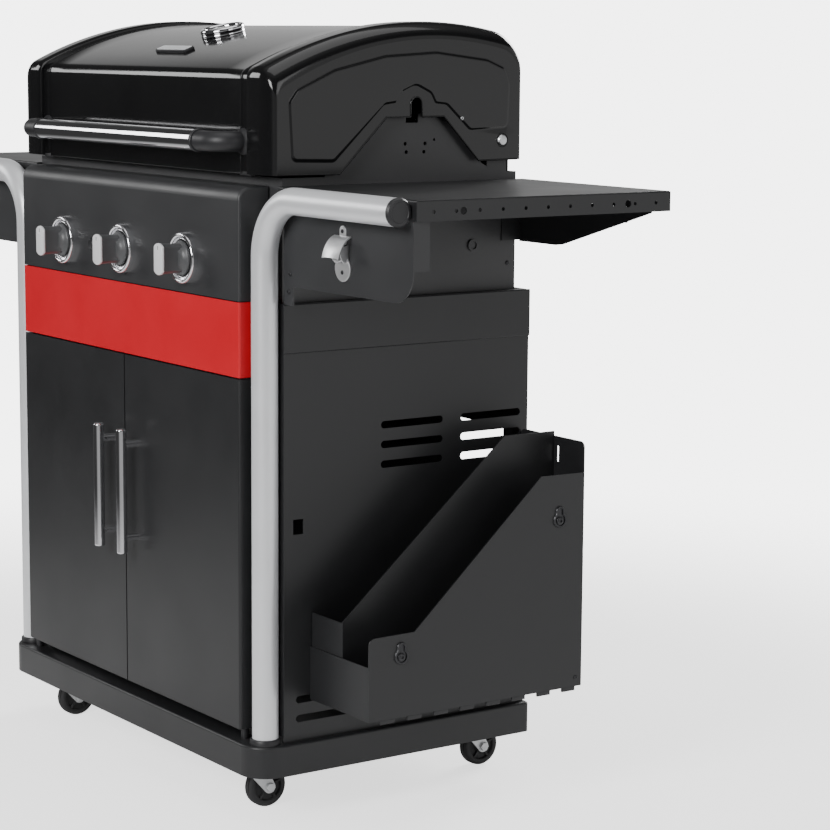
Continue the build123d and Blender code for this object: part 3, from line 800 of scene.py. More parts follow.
# ---- lid ----------------------------------------------------------------------------
@dataclass(frozen=True)
class Dome:
    """Side outline of the lid: an upright front and back under one large arc.

    The fillet between an upright and the arc has its centre where it keeps its radius from
    the upright and lies (arc radius - its radius) from the arc's centre.

    Args:
        front, rear: Y of the two uprights.
        apex_y, apex_z: highest point of the arc.
        radius: of the arc.
        front_round, rear_round: radii of the two fillets.
    """

    front: float
    rear: float
    apex_z: float
    radius: float
    front_round: float
    rear_round: float
    apex_y: float = 0.085

    def line(self, low_front: float, low_rear: float) -> Array:
        """The outline from the front's lower edge over the top to the back's lower edge.

        Args:
            low_front, low_rear: Z of the two lower edges.

        Returns:
            (n, 2) points (y, z), with the same count for every dome.
        """
        centre_z = self.apex_z - self.radius

        def fillet(upright: float, radius: float, side: int) -> tuple[Pair, float]:
            """Centre of a fillet and the angle of its end on the arc."""
            y = upright - side * radius
            z = centre_z + math.sqrt((self.radius - radius) ** 2 - (y - self.apex_y) ** 2)
            return (y, z), math.atan2(z - centre_z, y - self.apex_y)

        front, front_turn = fillet(self.front, self.front_round, -1)
        rear, rear_turn = fillet(self.rear, self.rear_round, 1)
        up = np.column_stack([np.full(10, self.front), np.linspace(low_front, front[1], 10)])
        down = np.column_stack([np.full(10, self.rear), np.linspace(rear[1], low_rear, 10)])
        return np.concatenate([
            up[:-1],
            arc(front, self.front_round, math.pi, front_turn, 16)[:-1],
            arc((self.apex_y, centre_z), self.radius, front_turn, rear_turn, 72)[:-1],
            arc(rear, self.rear_round, rear_turn, 0.0, 20)[:-1],
            down,
        ])


@dataclass
class Lid:
    """Domed lid: a bent sheet between two cast ends.

    An end's lip covers the part of its falling edge that lies further out than lip_from of the way.
    """

    half: float = 0.383
    band_in: float = 0.320
    crest: float = 0.352
    wall: float = 0.003
    sheet_thick: float = 0.0018
    lip_from: float = 0.77
    low: float = 0.930
    back_low: float = 1.000
    ear_low: float = 0.944
    bead_x: float = 0.297
    bead_half: float = 0.004
    bead_high: float = 0.0009
    bolt: Pair = (0.2045, 0.973)
    outer: Dome = Dome(-0.195, 0.247, 1.1445, 0.601, 0.020, 0.055)
    face: Dome = Dome(-0.1822, 0.2355, 1.1195, 0.525, 0.024, 0.040)
    sheet: Dome = Dome(-0.1889, 0.2409, 1.1384, 0.5949, 0.017, 0.049)

    def build(self) -> None:
        """Builds every piece of the lid."""
        self._sheet()
        right = self._end()
        Piece("lid_end_right", Finishes.ENAMEL, "lid", ("lid_cap_right",)).make(right)
        Piece("lid_end_left", Finishes.ENAMEL, "lid", ("lid_cap_left",)).make(mirror_x(right))
        self._pegs()

    def _sheet(self) -> None:
        """The bent sheet, with a bead near each end and a folded lower edge.

        The bead is a raised cosine across its width.
        """
        line = self.sheet.line(self.low, self.back_low)
        line = np.concatenate([
            line[:1] + (0.006, -0.0005), line[:1] + (0.0015, -0.0022), line, line[-1:] + (-0.0015, -0.0022),
            line[-1:] + (-0.006, -0.0005)
        ])
        x = np.unique(
            np.concatenate([
                np.linspace(-0.328, 0.328, 9),
                *[side * (self.bead_x + np.linspace(-self.bead_half, self.bead_half, 9)) for side in (-1, 1)]
            ])
        )
        off = np.clip((np.abs(x) - self.bead_x) / self.bead_half, -1, 1)
        rise = self.bead_high * 0.5 * (1 + np.cos(off * math.pi))
        along = np.gradient(line, axis=0)
        out = np.stack([-along[:, 1], along[:, 0]], axis=-1) / np.linalg.norm(along, axis=1, keepdims=True)
        yz = line[:, None] + out[:, None] * rise[None, :, None]
        points = np.concatenate([np.broadcast_to(x[None, :, None], (*yz.shape[:2], 1)), yz], axis=-1)
        Piece("lid_sheet", Finishes.ENAMEL, "lid", ("lid_skin",)).make(
            Skin().thick(points[:, ::-1], self.sheet_thick)
        )

    def _end(self) -> Skin:
        """The right cast end.

        Across the band the outline steps up from the sheet, runs level to the crest and then
        falls on a quarter of an ellipse to the flat side face: at the turn t the point lies
        sin t of the way outwards in X and (1 - cos t) of the way from crest to face.

        Returns:
            The closed surface.
        """
        def rings(thin: float) -> tuple[Array, ...]:
            """Crest, face and step outlines of the shell, moved inwards by a thickness."""
            whole = self.outer
            crest = Dome(
                whole.front + thin, whole.rear - thin, whole.apex_z - thin, whole.radius - thin,
                whole.front_round - thin * 0.5, whole.rear_round - thin
            )
            return tuple(dome.line(self.low, self.back_low) for dome in (crest, self.face, self.sheet))

        turns = np.linspace(0.0, math.pi / 2, 15)

        def shell(thin: float) -> Array:
            """One side of the shell as (outline, across, 3) points."""
            crest, face, step = rings(thin)
            band = [
                (self.band_in, 0.9), (self.band_in, 0.28), (self.band_in + 0.0006, 0.08),
                (self.band_in + 0.0018, 0.0), (0.5 * (self.band_in + self.crest), 0.0)
            ]
            if thin:
                band = [(self.band_in + 0.006, 0.0)]
            across = [at_x(x, crest + (step - crest) * k) for x, k in band]
            outer = self.half - thin
            across += [
                at_x(self.crest + (outer - self.crest) * math.sin(t), face + (crest - face) * math.cos(t))
                for t in turns
            ]
            return np.stack(across, axis=1)

        skin = Skin()
        outer, inner = shell(0.0), shell(self.wall)
        step = rings(0.0)[2]
        hems = [at_x(x, step)[:, None] for x in (self.band_in + 0.005, self.band_in)]
        loop = np.concatenate([outer, inner[:, ::-1], *hems], axis=1)
        skin.grid(loop, close_v=True).cap(loop[0]).cap(loop[-1])
        self._side_face(skin)
        lip = [t for t in turns if math.sin(t) >= self.lip_from]
        rear_crest, rear_face = self.outer.rear, self.face.rear
        section = np.array([
            (
                self.crest + (self.half - self.crest) * math.sin(t),
                rear_face + (rear_crest - rear_face) * math.cos(t)
            )
            for t in lip
        ])
        section = np.concatenate([
            section, [(self.half - self.wall, rear_face - 0.002), (section[0, 0], rear_face - 0.002)]
        ])
        skin.slab(section, self.ear_low, self.back_low + 0.004, Place())
        return skin

    def _side_face(self, skin: Skin) -> None:
        """The flat side with its raised field, rim line, cut-out, spit slot and bolt hole.

        Args:
            skin: the surface it is added to.
        """
        top = self.face.line(self.low, self.ear_low)
        slot_y, slot_r, slot_z = 0.0516, 0.0100, 1.0270
        slot = np.concatenate([
            [(slot_y + slot_r, 1.009)], arc((slot_y, slot_z), slot_r, 0.0, math.pi, 17),
            [(slot_y - slot_r, 1.009)]
        ])
        lower = np.concatenate([
            [(0.163, self.ear_low)], [(0.100, 1.009)], slot, [(0.0, 1.009)], [(-0.080, self.low)]
        ])
        outline = np.concatenate([top, lower])
        raised = mm(
            (-165, 1032), (-152, 1049), (-89, 1077), (-3, 1096.5), (85.5, 1102), (177, 1091), (210, 1078),
            (219, 1054), (216, 991), (146, 988), (104, 1025.5), (84, 1027.5), (76, 1042), (50, 1054),
            (26, 1044), (17, 1029), (-3, 1026.5), (-89, 947), (-160, 949)
        )
        field_line = rounded(
            raised,
            [
                0.012, 0.012, 0.03, 0.05, 0.05, 0.03, 0.014, 0.014, 0.010, 0.012, 0.010, 0.006, 0.012, 0.014,
                0.010, 0.006, 0.010, 0.012, 0.010
            ],
            7
        )
        contours = [
            (inset(field_line, step), np.full(len(field_line), rise))
            for step, rise in (
                (-0.0012, 0.0), (0.0, 0.0), (0.0008, 0.0002), (0.0018, 0.0009), (0.0028, 0.0016),
                (0.0036, 0.0018), (0.0050, 0.0018)
            )
        ]
        contours.append((inset(outline, 0.0012), np.zeros(len(outline))))
        hole = circle(0.0045, 24) + self.bolt
        ring = [
            (circle(r, 40) + self.bolt, np.full(40, h))
            for r, h in ((0.0112, 0.0018), (0.0105, 0.0018), (0.0095, 0.0008), (0.0088, 0.0008))
        ]
        skin.relief(outline, contours + ring, [hole], self.wall, to_right(self.half, 0, 0))
        path = np.concatenate([
            [(0.2325, self.ear_low + 0.001)], lower[:2], slot, lower[-2:], [(-0.1815, self.low + 0.001)]
        ])
        points = at_x(self.half, path)
        skin.sweep(points, circle(0.0013, 10) + (0.00018, 0.0), (1.0, 0.0, 0.0))

    def _pegs(self) -> None:
        """Rubber pegs under the lid's front and small screws on its ends."""
        pegs, screws = Skin(), Skin()
        for side in (-1, 1):
            pegs.slab(
                box_outline(0.030, 0.009, 0.003), self.low - 0.0035, self.low + 0.004,
                Place((side * 0.306, -0.1845, 0)), 0.0015
            )
            out = (float(side), 0.0, 0.0)
            screw_head(screws, Place.facing(out, (side * (self.half + 0.0002), 0.132, 1.006)), 0.0034, 0.0020)
        Piece("lid_pegs", Finishes.RUBBER, "lid").make(pegs)
        Piece("lid_side_screws", Finishes.ZINC, "lid").make(screws)


@dataclass
class Handle:
    """Chrome bar across the lid on two black arms."""

    y: float = -0.229
    z: float = 0.975
    radius: float = 0.0155
    half: float = 0.243
    foot_x: float = 0.303
    skin_y: float = -0.1889
    arm: float = 0.0145
    bend: float = 0.030

    def build(self) -> None:
        """Builds the bar, its end collars and its arms."""
        r, h = self.radius, self.half
        place = to_right(0, self.y, self.z)
        bar = Skin().lathe(
            np.array([(0, -h), (r - 0.001, -h), (r, -h + 0.001), (r, h - 0.001), (r - 0.001, h), (0, h)]),
            place, 72
        )
        Piece("lid_bar", Finishes.CHROME, "lid", ("lid_handle",)).make(bar)
        path = bent(
            [
                (h + 0.002, self.y, self.z), (self.foot_x, self.y, self.z),
                (self.foot_x, self.skin_y - 0.004, self.z)
            ],
            self.bend
        )
        arm = Skin().sweep(path, circle(self.arm, 48), (0.0, 0.0, 1.0))
        ring = np.array([
            (0, h), (0.0160, h), (0.0166, h + 0.0008), (0.0166, h + 0.0052), (0.0158, h + 0.0062),
            (0, h + 0.0062)
        ])
        arm.lathe(ring, place, 56)
        foot = mm((0, 0), (19, 0), (19, 1.8), (17.8, 3.2), (15.8, 4.8), (14.8, 7.5), (0, 7.5))
        arm.lathe(foot, to_front(self.foot_x, self.skin_y, self.z), 56)
        Piece("lid_bar_arms", Finishes.PLASTIC, "lid", ("lid_handle_arms",)).make(both_sides(arm))


@dataclass
class Gauge:
    """Thermometer on the lid with its dial, pointer and glass, and the plain plate before it."""

    tilt: float = math.radians(12.4)
    plate_tilt: float = math.radians(20.9)
    radius: float = 0.595
    apex_y: float = 0.085
    centre_z: float = 0.5435

    def place(self, tilt: float) -> Place:
        """The frame square to the lid's sheet.

        Args:
            tilt: forward from upright, in radians.

        Returns:
            The frame with w pointing away from the lid.
        """
        out = np.array([0.0, -math.sin(tilt), math.cos(tilt)])
        at = np.array([0.0, self.apex_y, self.centre_z]) + out * self.radius
        return Place(tuple(at), (1.0, 0.0, 0.0), (0.0, math.cos(tilt), math.sin(tilt)), tuple(out))

    def build(self) -> None:
        """Builds every piece of the gauge and the plate."""
        at = self.place(self.tilt)
        case = mm(
            (0, -48), (3.6, -48), (4, -47), (4, -3), (8.5, -3), (8.5, 0), (29, 0), (29, 8), (27, 8),
            (27, 2.2), (0, 2.2)
        )
        Piece("thermometer_case", Finishes.ZINC, "lid", ("gauge_case",)).make(Skin().lathe(case, at, 72))
        turn = np.linspace(math.radians(-10), math.radians(170), 16)
        crown = np.column_stack([0.0302 + 0.0042 * np.cos(turn), 0.0075 + 0.0048 * np.sin(turn)])
        ring = np.concatenate([
            [(0.0291, -0.0004), (0.0335, -0.0004), (0.0340, 0.0006), (0.0340, 0.0022), (0.0334, 0.0034)],
            crown, [(0.0258, 0.0072), (0.0258, 0.0062), (0.0291, 0.0062)]
        ])
        Piece("thermometer_ring", Finishes.CHROME, "lid", ("gauge_bezel",)).make(
            Skin().lathe(ring, at, 96, closed=True)
        )
        Piece("thermometer_dial", Finishes.DIAL, "lid").make(
            Skin().lathe(mm((0, 2), (26.8, 2), (26.8, 2.6), (0, 2.6)), at, 72)
        )
        ticks = Skin()
        for index, turn_by in enumerate(np.radians(np.linspace(-35, 215, 26))):
            long = index % 5 == 0
            width, inner = (0.0010, 0.0190) if long else (0.0005, 0.0215)
            bar = np.array([
                (inner, -width / 2), (0.0245, -width / 2), (0.0245, width / 2), (inner, width / 2)
            ])
            ticks.slab(turned(bar, turn_by), 0.0025, 0.0028, at)
        Piece("thermometer_ticks", Finishes.INK, "lid").make(ticks)
        glass = mm((0, 10.4), (12, 9.9), (20, 8.8), (26.2, 7), (26.2, 6), (20, 7.6), (12, 8.7), (0, 9.1))
        Piece("thermometer_glass", Finishes.GLASS, "lid").make(Skin().lathe(glass, at, 72))
        hand = mm((3.5, -1.1), (3.5, 1.1), (-4, 1.2), (-19.5, 0.2), (-19.5, -0.2), (-4, -1.2))
        pointer = Skin().slab(hand, 0.0034, 0.0042, at)
        pointer.lathe(mm((0, 3.2), (3.2, 3.2), (3.2, 4.4), (2.2, 5.2), (0, 5.2)), at, 32)
        Piece("thermometer_pointer", Finishes.NEEDLE, "gauge_needle", ("gauge_needle",)).make(pointer)
        flat = self.place(self.plate_tilt)
        badge = Skin().slab(box_outline(0.092, 0.020, 0.005), -0.0005, 0.0042, flat, 0.0012)
        Piece("lid_badge_base", Finishes.PLASTIC, "lid", ("lid_plate",)).make(badge)
        Piece("lid_badge_face", Finishes.SILVER, "lid").make(
            Skin().slab(box_outline(0.087, 0.0152, 0.0035), 0.0040, 0.0050, flat, 0.0003)
        )


# ---- controls -----------------------------------------------------------------------
@dataclass
class Controls:
    """Knobs with their bezels and the igniter."""

    pitch: float = 0.1893
    z: float = 0.8033
    panel_y: float = -0.2198
    tip_y: float = -0.2652
    button_x: float = -0.0946
    grip_low: float = 0.0085
    face_thick: float = 0.0035
    waist: float = 0.10

    def build(self) -> None:
        """Builds bezels, knobs and the igniter."""
        rings = Skin()
        for name, x in (("right", self.pitch), ("middle", 0.0), ("left", -self.pitch)):
            at = to_front(x, self.panel_y, self.z)
            turn = np.linspace(0, math.pi, 12)
            lip = np.column_stack([0.0340 + 0.0030 * np.cos(turn), 0.0064 + 0.0036 * np.sin(turn)])
            dish = mm((30.6, 4.6), (30, 3.6), (29.3, 3.4))
            inner = np.column_stack([0.0282 + 0.0009 * np.cos(turn), 0.0052 + 0.0012 * np.sin(turn)])
            profile = np.concatenate([[(0.0272, 0.0), (0.0370, 0.0)], lip, dish, inner, [(0.0272, 0.004)]])
            rings.lathe(profile, at, 96, closed=True)
            self._knob(name, at)
        Piece("bezel_rings", Finishes.BEZEL, "cart", ("knob_bezels",)).make(rings)
        at = to_front(self.button_x, self.panel_y, self.z)
        nut = mm((7.6, 0), (13, 0), (13, 2), (12, 3.4), (9.2, 3.8), (7.6, 3.2))
        housing = Skin().lathe(nut, at, 64, closed=True)
        housing.lathe(
            mm((7.6, -27.5), (14, -27.5), (14, -4), (8.9, -3.6), (8.9, -0.2), (7.6, -0.2)), at, 48,
            closed=True
        )
        housing.lathe(mm((0, -41.8), (13, -41.8), (14, -40.8), (14, -27.4), (0, -27.4)), at, 48)
        Piece("igniter_ring", Finishes.PLASTIC, "cart", ("igniter_housing",)).make(housing)
        cap = mm((0, -19.5), (7.3, -19.5), (7.3, 5.8), (6.4, 6.8), (3.5, 6.2), (0, 6))
        Piece("igniter_cap", Finishes.PLASTIC, "igniter_button", ("igniter_button",)).make(
            Skin().lathe(cap, at, 48)
        )

    def _knob(self, name: str, at: Place) -> None:
        """One knob: flared base, waisted upright grip and a bright face.

        The grip has a waist: each section is the face outline, narrowed by the waist's share
        times sin(pi * share of the depth), and by 0.4 of that in height.

        Args:
            name: right, middle or left.
            at: the frame on the panel's face.
        """
        depth = self.panel_y - self.tip_y
        base = mm(
            (0, 4.8), (23.8, 4.8), (25.2, 6), (25.5, 7.8), (25, 9.4), (23.6, 10.6), (20.5, 12.2), (17.5, 15),
            (16, 18.5), (0, 19)
        )
        knob = Skin().lathe(base, at, 72)
        width, height = 0.0120, 0.0225
        ends = math.radians(46)
        top = arc(
            (0, height - width / math.sin(ends)), width / math.sin(ends), math.pi / 2 - ends,
            math.pi / 2 + ends, 15
        )
        face = np.concatenate([top, -top])
        share = np.linspace(0.0, 1.0, 14)
        levels = self.grip_low + share * (depth - self.face_thick - self.grip_low)
        narrow = self.waist * np.sin(math.pi * share)
        rings = np.stack([at_level(face * (1 - k, 1 - 0.4 * k), level) for k, level in zip(narrow, levels)])
        knob.tube(at.points(rings))
        stem = mm((0, -20.8), (4, -20.8), (4, 6), (0, 6))
        knob.lathe(stem, at, 32)
        body = f"knob_{name}"
        Piece(f"grip_{name}", Finishes.KNOB, body, (body,)).make(knob)
        plate = Skin().slab(inset(face, -0.0006), depth - 0.0040, depth, at, 0.0012)
        Piece(f"grip_face_{name}", Finishes.KNOB_FACE, body).make(plate)
        mark = Skin().slab(
            mm((-0.6, 13.5), (0.6, 13.5), (0.6, 19), (-0.6, 19)), depth - 0.0005, depth + 0.0001, at
        )
        Piece(f"grip_mark_{name}", Finishes.INK, body).make(mark)


# ---- frame and rails ----------------------------------------------------------------
@dataclass
class Rails:
    """The two bent tubes, their plugs and feet."""

    radius: float = 0.019
    x: float = 0.3695
    y: float = -0.1957
    z: float = 0.8992
    bend: float = 0.083
    end: float = 0.697
    foot: float = 0.1174

    def build(self) -> None:
        """Builds tubes, end plugs and the collars on the base."""
        path = bent(
            [(self.x, self.y, self.foot), (self.x, self.y, self.z), (self.end, self.y, self.z)], self.bend, 40
        )
        tube = Skin().sweep(path, circle(self.radius, 64), (0.0, 1.0, 0.0))
        Piece("tube_right", Finishes.SILVER, "cart", ("post_rail_right",)).make(tube)
        Piece("tube_left", Finishes.SILVER, "cart", ("post_rail_left",)).make(mirror_x(tube))
        at = to_right(self.end, self.y, self.z)
        r = self.radius
        plug = Skin().lathe(
            np.array([
                (0, -0.004), (r - 0.0021, -0.004), (r - 0.0021, 0.0001), (r + 0.0002, 0.0001),
                (r + 0.0004, 0.0030), (r - 0.0016, 0.0054), (r - 0.0050, 0.0060), (r - 0.0056, 0.0053),
                (0, 0.0050)
            ]),
            at, 64
        )
        Piece("tube_plugs", Finishes.PLASTIC, "cart", ("rail_caps",)).make(both_sides(plug))
        collar = Skin().lathe(
            np.array([(r, 0.0), (r + 0.0035, 0.0), (r + 0.0035, 0.006), (r + 0.0022, 0.0078), (r, 0.0082)]),
            Place((self.x, self.y, self.foot)), 64, closed=True
        )
        Piece("tube_collars", Finishes.PLASTIC, "cart").make(both_sides(collar))
        bolt = Skin().lathe(
            mm(
                (0, -19), (3.9, -19), (3.9, -10.8), (7, -10.8), (7, -3.6), (3.9, -3.6), (3.9, 0.6),
                (7.8, 0.6), (8, 2.2), (6.6, 4.2), (3, 5), (0, 5)
            ),
            to_right(Lid.half, *Lid.bolt), 48
        )
        Piece("pivot_heads", Finishes.ZINC, "cart", ("lid_pivot_bolts",)).make(both_sides(bolt))


@dataclass
class Caster:
    """One swivel caster: fork with ball race, bolt and ribbed wheel.

    Args:
        name: corner of the cart.
        x, y: of the swivel.
    """

    name: str
    x: float
    y: float
    wheel: float = 0.031
    trail: float = 0.023
    crown: float = 0.0655
    cheek: float = 0.0118
    plate: float = 0.0022
    half: float = 0.0105

    def build(self) -> None:
        """Builds the fork, its bolt and the wheel."""
        fork = Skin()
        circle_part = arc((self.trail, self.wheel), 0.0095, math.radians(-150), math.radians(20), 20)
        side = np.concatenate([
            circle_part,
            [
                (0.0168, self.crown - 0.003), (0.0150, self.crown), (-0.0150, self.crown),
                (-0.0170, self.crown - 0.004)
            ]
        ])
        for sign in (-1, 1):
            at = Place((self.x + sign * self.cheek, self.y, 0), (0, 1, 0), (0, 0, 1), (float(sign), 0, 0))
            fork.slab(side, 0.0, self.plate, at, 0.0005)
        top = Place((self.x, self.y, 0))
        fork.slab(box_outline(0.0272, 0.034, 0.005), self.crown - self.plate, self.crown, top, 0.0006)
        race = np.array([
            (0, self.crown - 0.001), (0.0172, self.crown - 0.001), (0.0186, self.crown + 0.0006),
            (0.0186, self.crown + 0.0016), (0.0168, self.crown + 0.0024), (0.0180, self.crown + 0.0032),
            (0.0174, self.crown + 0.0042), (0.0055, self.crown + 0.0046), (0.0055, 0.1115), (0.0045, 0.1125),
            (0, 0.1125)
        ])
        fork.lathe(race, top, 56)
        piece = Piece(
            f"caster_frame_{self.name}", Finishes.FORK, f"fork_{self.name}", (f"caster_fork_{self.name}",)
        )
        across = to_right(self.x, self.y + self.trail, self.wheel)
        outer = self.cheek + self.plate
        bolt = Skin().lathe(
            np.array([
                (0, -outer - 0.006), (0.0036, -outer - 0.006), (0.0040, -outer - 0.0054),
                (0.0040, outer + 0.0005), (0, outer + 0.0005)
            ]),
            across, 32
        )
        bolt.slab(circle(0.0066, 6), -outer - 0.0045, -outer, across, 0.0006)
        bolt.slab(circle(0.0072, 6), outer, outer + 0.0048, across, 0.0008)
        for shift in (-outer - 0.0004, outer - 0.0008):
            bolt.slab(circle(0.0082, 32), shift, shift + 0.0012, across)
        piece.make(join(fork, bolt))
        half, r = self.half, self.wheel
        groove = [
            (r - 0.0014, -0.0034), (r - 0.0014, -0.0026), (r, -0.0022), (r, 0.0022), (r - 0.0014, 0.0026),
            (r - 0.0014, 0.0034)
        ]
        profile = np.array([
            (0.0042, -half), (0.0095, -half), (0.0105, -half + 0.0012), (0.0120, -0.0055), (0.0205, -0.0055),
            (0.0220, -half + 0.0016), (0.0245, -half + 0.0006), (r - 0.0042, -half + 0.0008),
            (r - 0.0018, -half + 0.0018), (r - 0.0004, -0.0066), (r, -0.0042), *groove, (r, 0.0042),
            (r - 0.0004, 0.0066), (r - 0.0018, half - 0.0018), (r - 0.0042, half - 0.0008),
            (0.0245, half - 0.0006), (0.0220, half - 0.0016), (0.0205, 0.0055), (0.0120, 0.0055),
            (0.0105, half - 0.0012), (0.0095, half), (0.0042, half),
        ])
        wheel = Skin().lathe(profile, across, 80, closed=True)
        spoke = mm((10, -1.6), (21.5, -1.6), (21.5, 1.6), (10, 1.6))
        for turn in np.radians([90, 162, 234, 306, 378]):
            for low, high in ((-half + 0.0018, -0.005), (0.005, half - 0.0018)):
                wheel.slab(turned(spoke, turn), low, high, across, 0.0004)
        Piece(
            f"caster_roller_{self.name}", Finishes.RUBBER, f"wheel_{self.name}",
            (f"caster_wheel_{self.name}",)
        ).make(wheel)


# ---- side fittings ------------------------------------------------------------------
@dataclass
class Opener:
    """Bottle opener on the right fascia: tab with screw, curved hood, claw and lower plate."""

    x: float = 0.541
    y: float = -0.1758

    def build(self) -> None:
        """Builds the opener and its screws.

        The hood comes forward on a shallow arc: it is level at the tab and falls by about
        65 degrees at its lower edge, which bends back a little in the middle.
        """
        at = to_front(self.x, self.y, 0)
        tab = rounded(
            mm((-7.5, 846), (7.5, 846), (7.5, 871.5), (-7.5, 871.5)), [0.002, 0.002, 0.0072, 0.0072], 10
        )
        skin = Skin().slab(tab, 0.0, 0.0022, at, 0.0005)
        low = rounded(
            mm((-11, 830), (11, 830), (18.5, 817), (18.5, 796), (-18.5, 796), (-18.5, 817)),
            [0.003, 0.003, 0.008, 0.0183, 0.0183, 0.008], 14
        )
        skin.slab(low, 0.0, 0.0024, at, 0.0006)
        down = np.linspace(0.0, 1.0, 22)[:, None]
        across = np.linspace(-1.0, 1.0, 17)[None]
        turn = np.radians(8 + 57 * down)
        run, fall = np.sin(turn) - np.sin(turn[0]), np.cos(turn[0]) - np.cos(turn)
        out = 0.0016 + 0.0229 * run / run[-1] - 0.0022 * across**2 * down
        level = 0.8580 - 0.0300 * fall / fall[-1] + 0.0016 * (1 - across**2) * down**3
        hood = np.stack([0.0205 * across + 0 * down, level, out], axis=-1)
        skin.thick(at.points(hood), 0.0018)
        for side in (-1, 1):
            leg = mm((0, 822), (0, 846), (9, 843), (14, 835), (11, 826), (6, 820))
            leg_at = Place((self.x + side * 0.011, self.y, 0), (0, -1, 0), (0, 0, 1), (1, 0, 0))
            skin.slab(
                rounded(leg, [0.001, 0.001, 0.004, 0.003, 0.002, 0.004], 5), -0.0009, 0.0009, leg_at, 0.0004
            )
        skin.slab(box_outline(0.019, 0.0045, 0.0015) + np.array([0.0, 0.8265]), 0.0060, 0.0125, at, 0.0008)
        Piece("opener_plate", Finishes.OPENER, "cart", ("bottle_opener",)).make(skin)
        screws = Skin()
        for z in (0.8640, 0.8085):
            screw_head(screws, to_front(self.x, self.y - 0.0022, z), 0.0030, 0.0014)
        Piece("opener_screws", Finishes.BOLT).make(screws)


@dataclass
class Fittings:
    """Keyhole plates on the holder and the small screws all round."""

    holder_x: float = 0.541

    def build(self) -> None:
        """Builds the keyhole rims, their screws and the screws of the cart."""
        rims, knobs, heads, tabs = Skin(), Skin(), Skin(), Skin()
        for y, z in ((-0.078, 0.265), (0.200, 0.430)):
            at = to_right(self.holder_x, y, z)
            outer, inner = self._keyhole(0.0118, 0.0078), self._keyhole(0.0088, 0.0050)
            bead = [
                (outer, 0.0), (inset(outer, 0.0003), 0.0018), (inset(outer, 0.0011), 0.0027), (inner, 0.0024),
                (inner, 0.0)
            ]
            rims.grid(
                at.points(np.stack([at_level(line, level) for line, level in bead])), close_u=True,
                close_v=True
            )
            rims.slab(inset(inner, -0.0004), 0.0, 0.0004, at)
            screw_head(knobs, to_right(self.holder_x + 0.0004, y, z - 0.001), 0.0062, 0.0036)
        Piece("keyhole_rims", Finishes.BOLT, "cart", ("holder_keyholes",)).make(rims)
        Piece("keyhole_knobs", Finishes.BOLT).make(knobs)
        for y in np.linspace(-0.100, 0.222, 8):
            tabs.slab(
                box_outline(0.0040, 0.024, 0.0015) + np.array([self.holder_x - 0.0021, y]), 0.1708, 0.1772,
                Place(), 0.0006
            )
        Piece("holder_tabs", Finishes.PANEL).make(tabs)
        places = [((self.holder_x, 0.2345, 0.190), (1, 0, 0))]
        for side in (-1, 1):
            out = (float(side), 0.0, 0.0)
            places += [((side * 0.372, 0.226, 0.790), out)]
            places += [
                ((side * x, -0.1758, z), (0.0, -1.0, 0.0))
                for x, z in ((0.402, 0.770), (0.405, 0.795))
            ]
            places += [
                ((side * x, 0.2525, z), (0.0, 1.0, 0.0))
                for x in (0.30, 0.376) for z in (0.160, 0.300, 0.680)
            ]
            places += [((side * x, 0.2485, 0.868), (0.0, 1.0, 0.0)) for x in (0.40, 0.62)]
        for spot, out in places:
            screw_head(heads, Place.facing(out, spot), 0.0034, 0.0019)
        Piece("small_screws", Finishes.BOLT).make(heads)

    @staticmethod
    def _keyhole(big: float, small: float) -> Array:
        """A large circle with a smaller one 13 mm above it, joined by straight sides.

        Args:
            big, small: the two radii.

        Returns:
            (n, 2) closed outline.
        """
        lean = math.asin(small / big)
        lower = arc((0.0, 0.0), big, math.pi / 2 + lean, math.pi / 2 - lean + 2 * math.pi, 40)
        upper = arc((0.0, 0.013), small, 0.0, math.pi, 20)
        return np.concatenate([lower, upper])


@dataclass
class CadFinishes:
    """Finishes and soft edges of the nodes that keep their own shape."""

    edge: float = 0.0011
    sharp: float = math.radians(30)
    bevel_from: float = math.radians(40)
    table: tuple[tuple[Finish, tuple[str, ...]], ...] = (
        (
            Finishes.PANEL,
            (
                "base_tray", "side_panel_right", "side_panel_left", "side_trims", "rear_panel", "door_right",
                "door_left", "shelf_right", "shelf_left", "shelf_brackets", "holder_shell", "holder_divider"
            )
        ),
        (Finishes.CONSOLE, ("control_panel", "shelf_fascias")),
        (Finishes.BAND, ("front_band",)),
        (Finishes.ZINC, ("gas_manifold", "grease_tray")),
        (Finishes.BOLT, ("door_hinge_pins",)),
        (Finishes.PLASTIC, ("door_magnets",)),
        (Finishes.CHROME, ("door_handle_right", "door_handle_left")),
        (Finishes.BRASS, ("gas_valves", "valve_collar_right", "valve_collar_middle", "valve_collar_left")),
        (Finishes.STAINLESS, ("burners", "flame_covers")),
        (Finishes.FIREBOX, ("firebox",)),
        (Finishes.GRATE, ("cooking_grates",)),
        (Finishes.WIRE, ("warming_rack",)),
    )

    def dress(self, nodes: dict[str, bpy.types.Object]) -> None:
        """Gives each node its finish and a small bevel.

        Args:
            nodes: the CAD nodes by name.
        """
        for finish, names in self.table:
            for name in names:
                thing = nodes[name]
                thing.data.materials.clear()
                thing.data.materials.append(finish.build())
                thing.data.polygons.foreach_set("use_smooth", np.ones(len(thing.data.polygons), bool))
                thing.data.set_sharp_from_angle(angle=self.sharp)
                bevel = thing.modifiers.new("soft_edge", "BEVEL")
                bevel.width = self.edge
                bevel.segments = 2
                bevel.limit_method = "ANGLE"
                bevel.angle_limit = self.bevel_from
                bevel.harden_normals = False


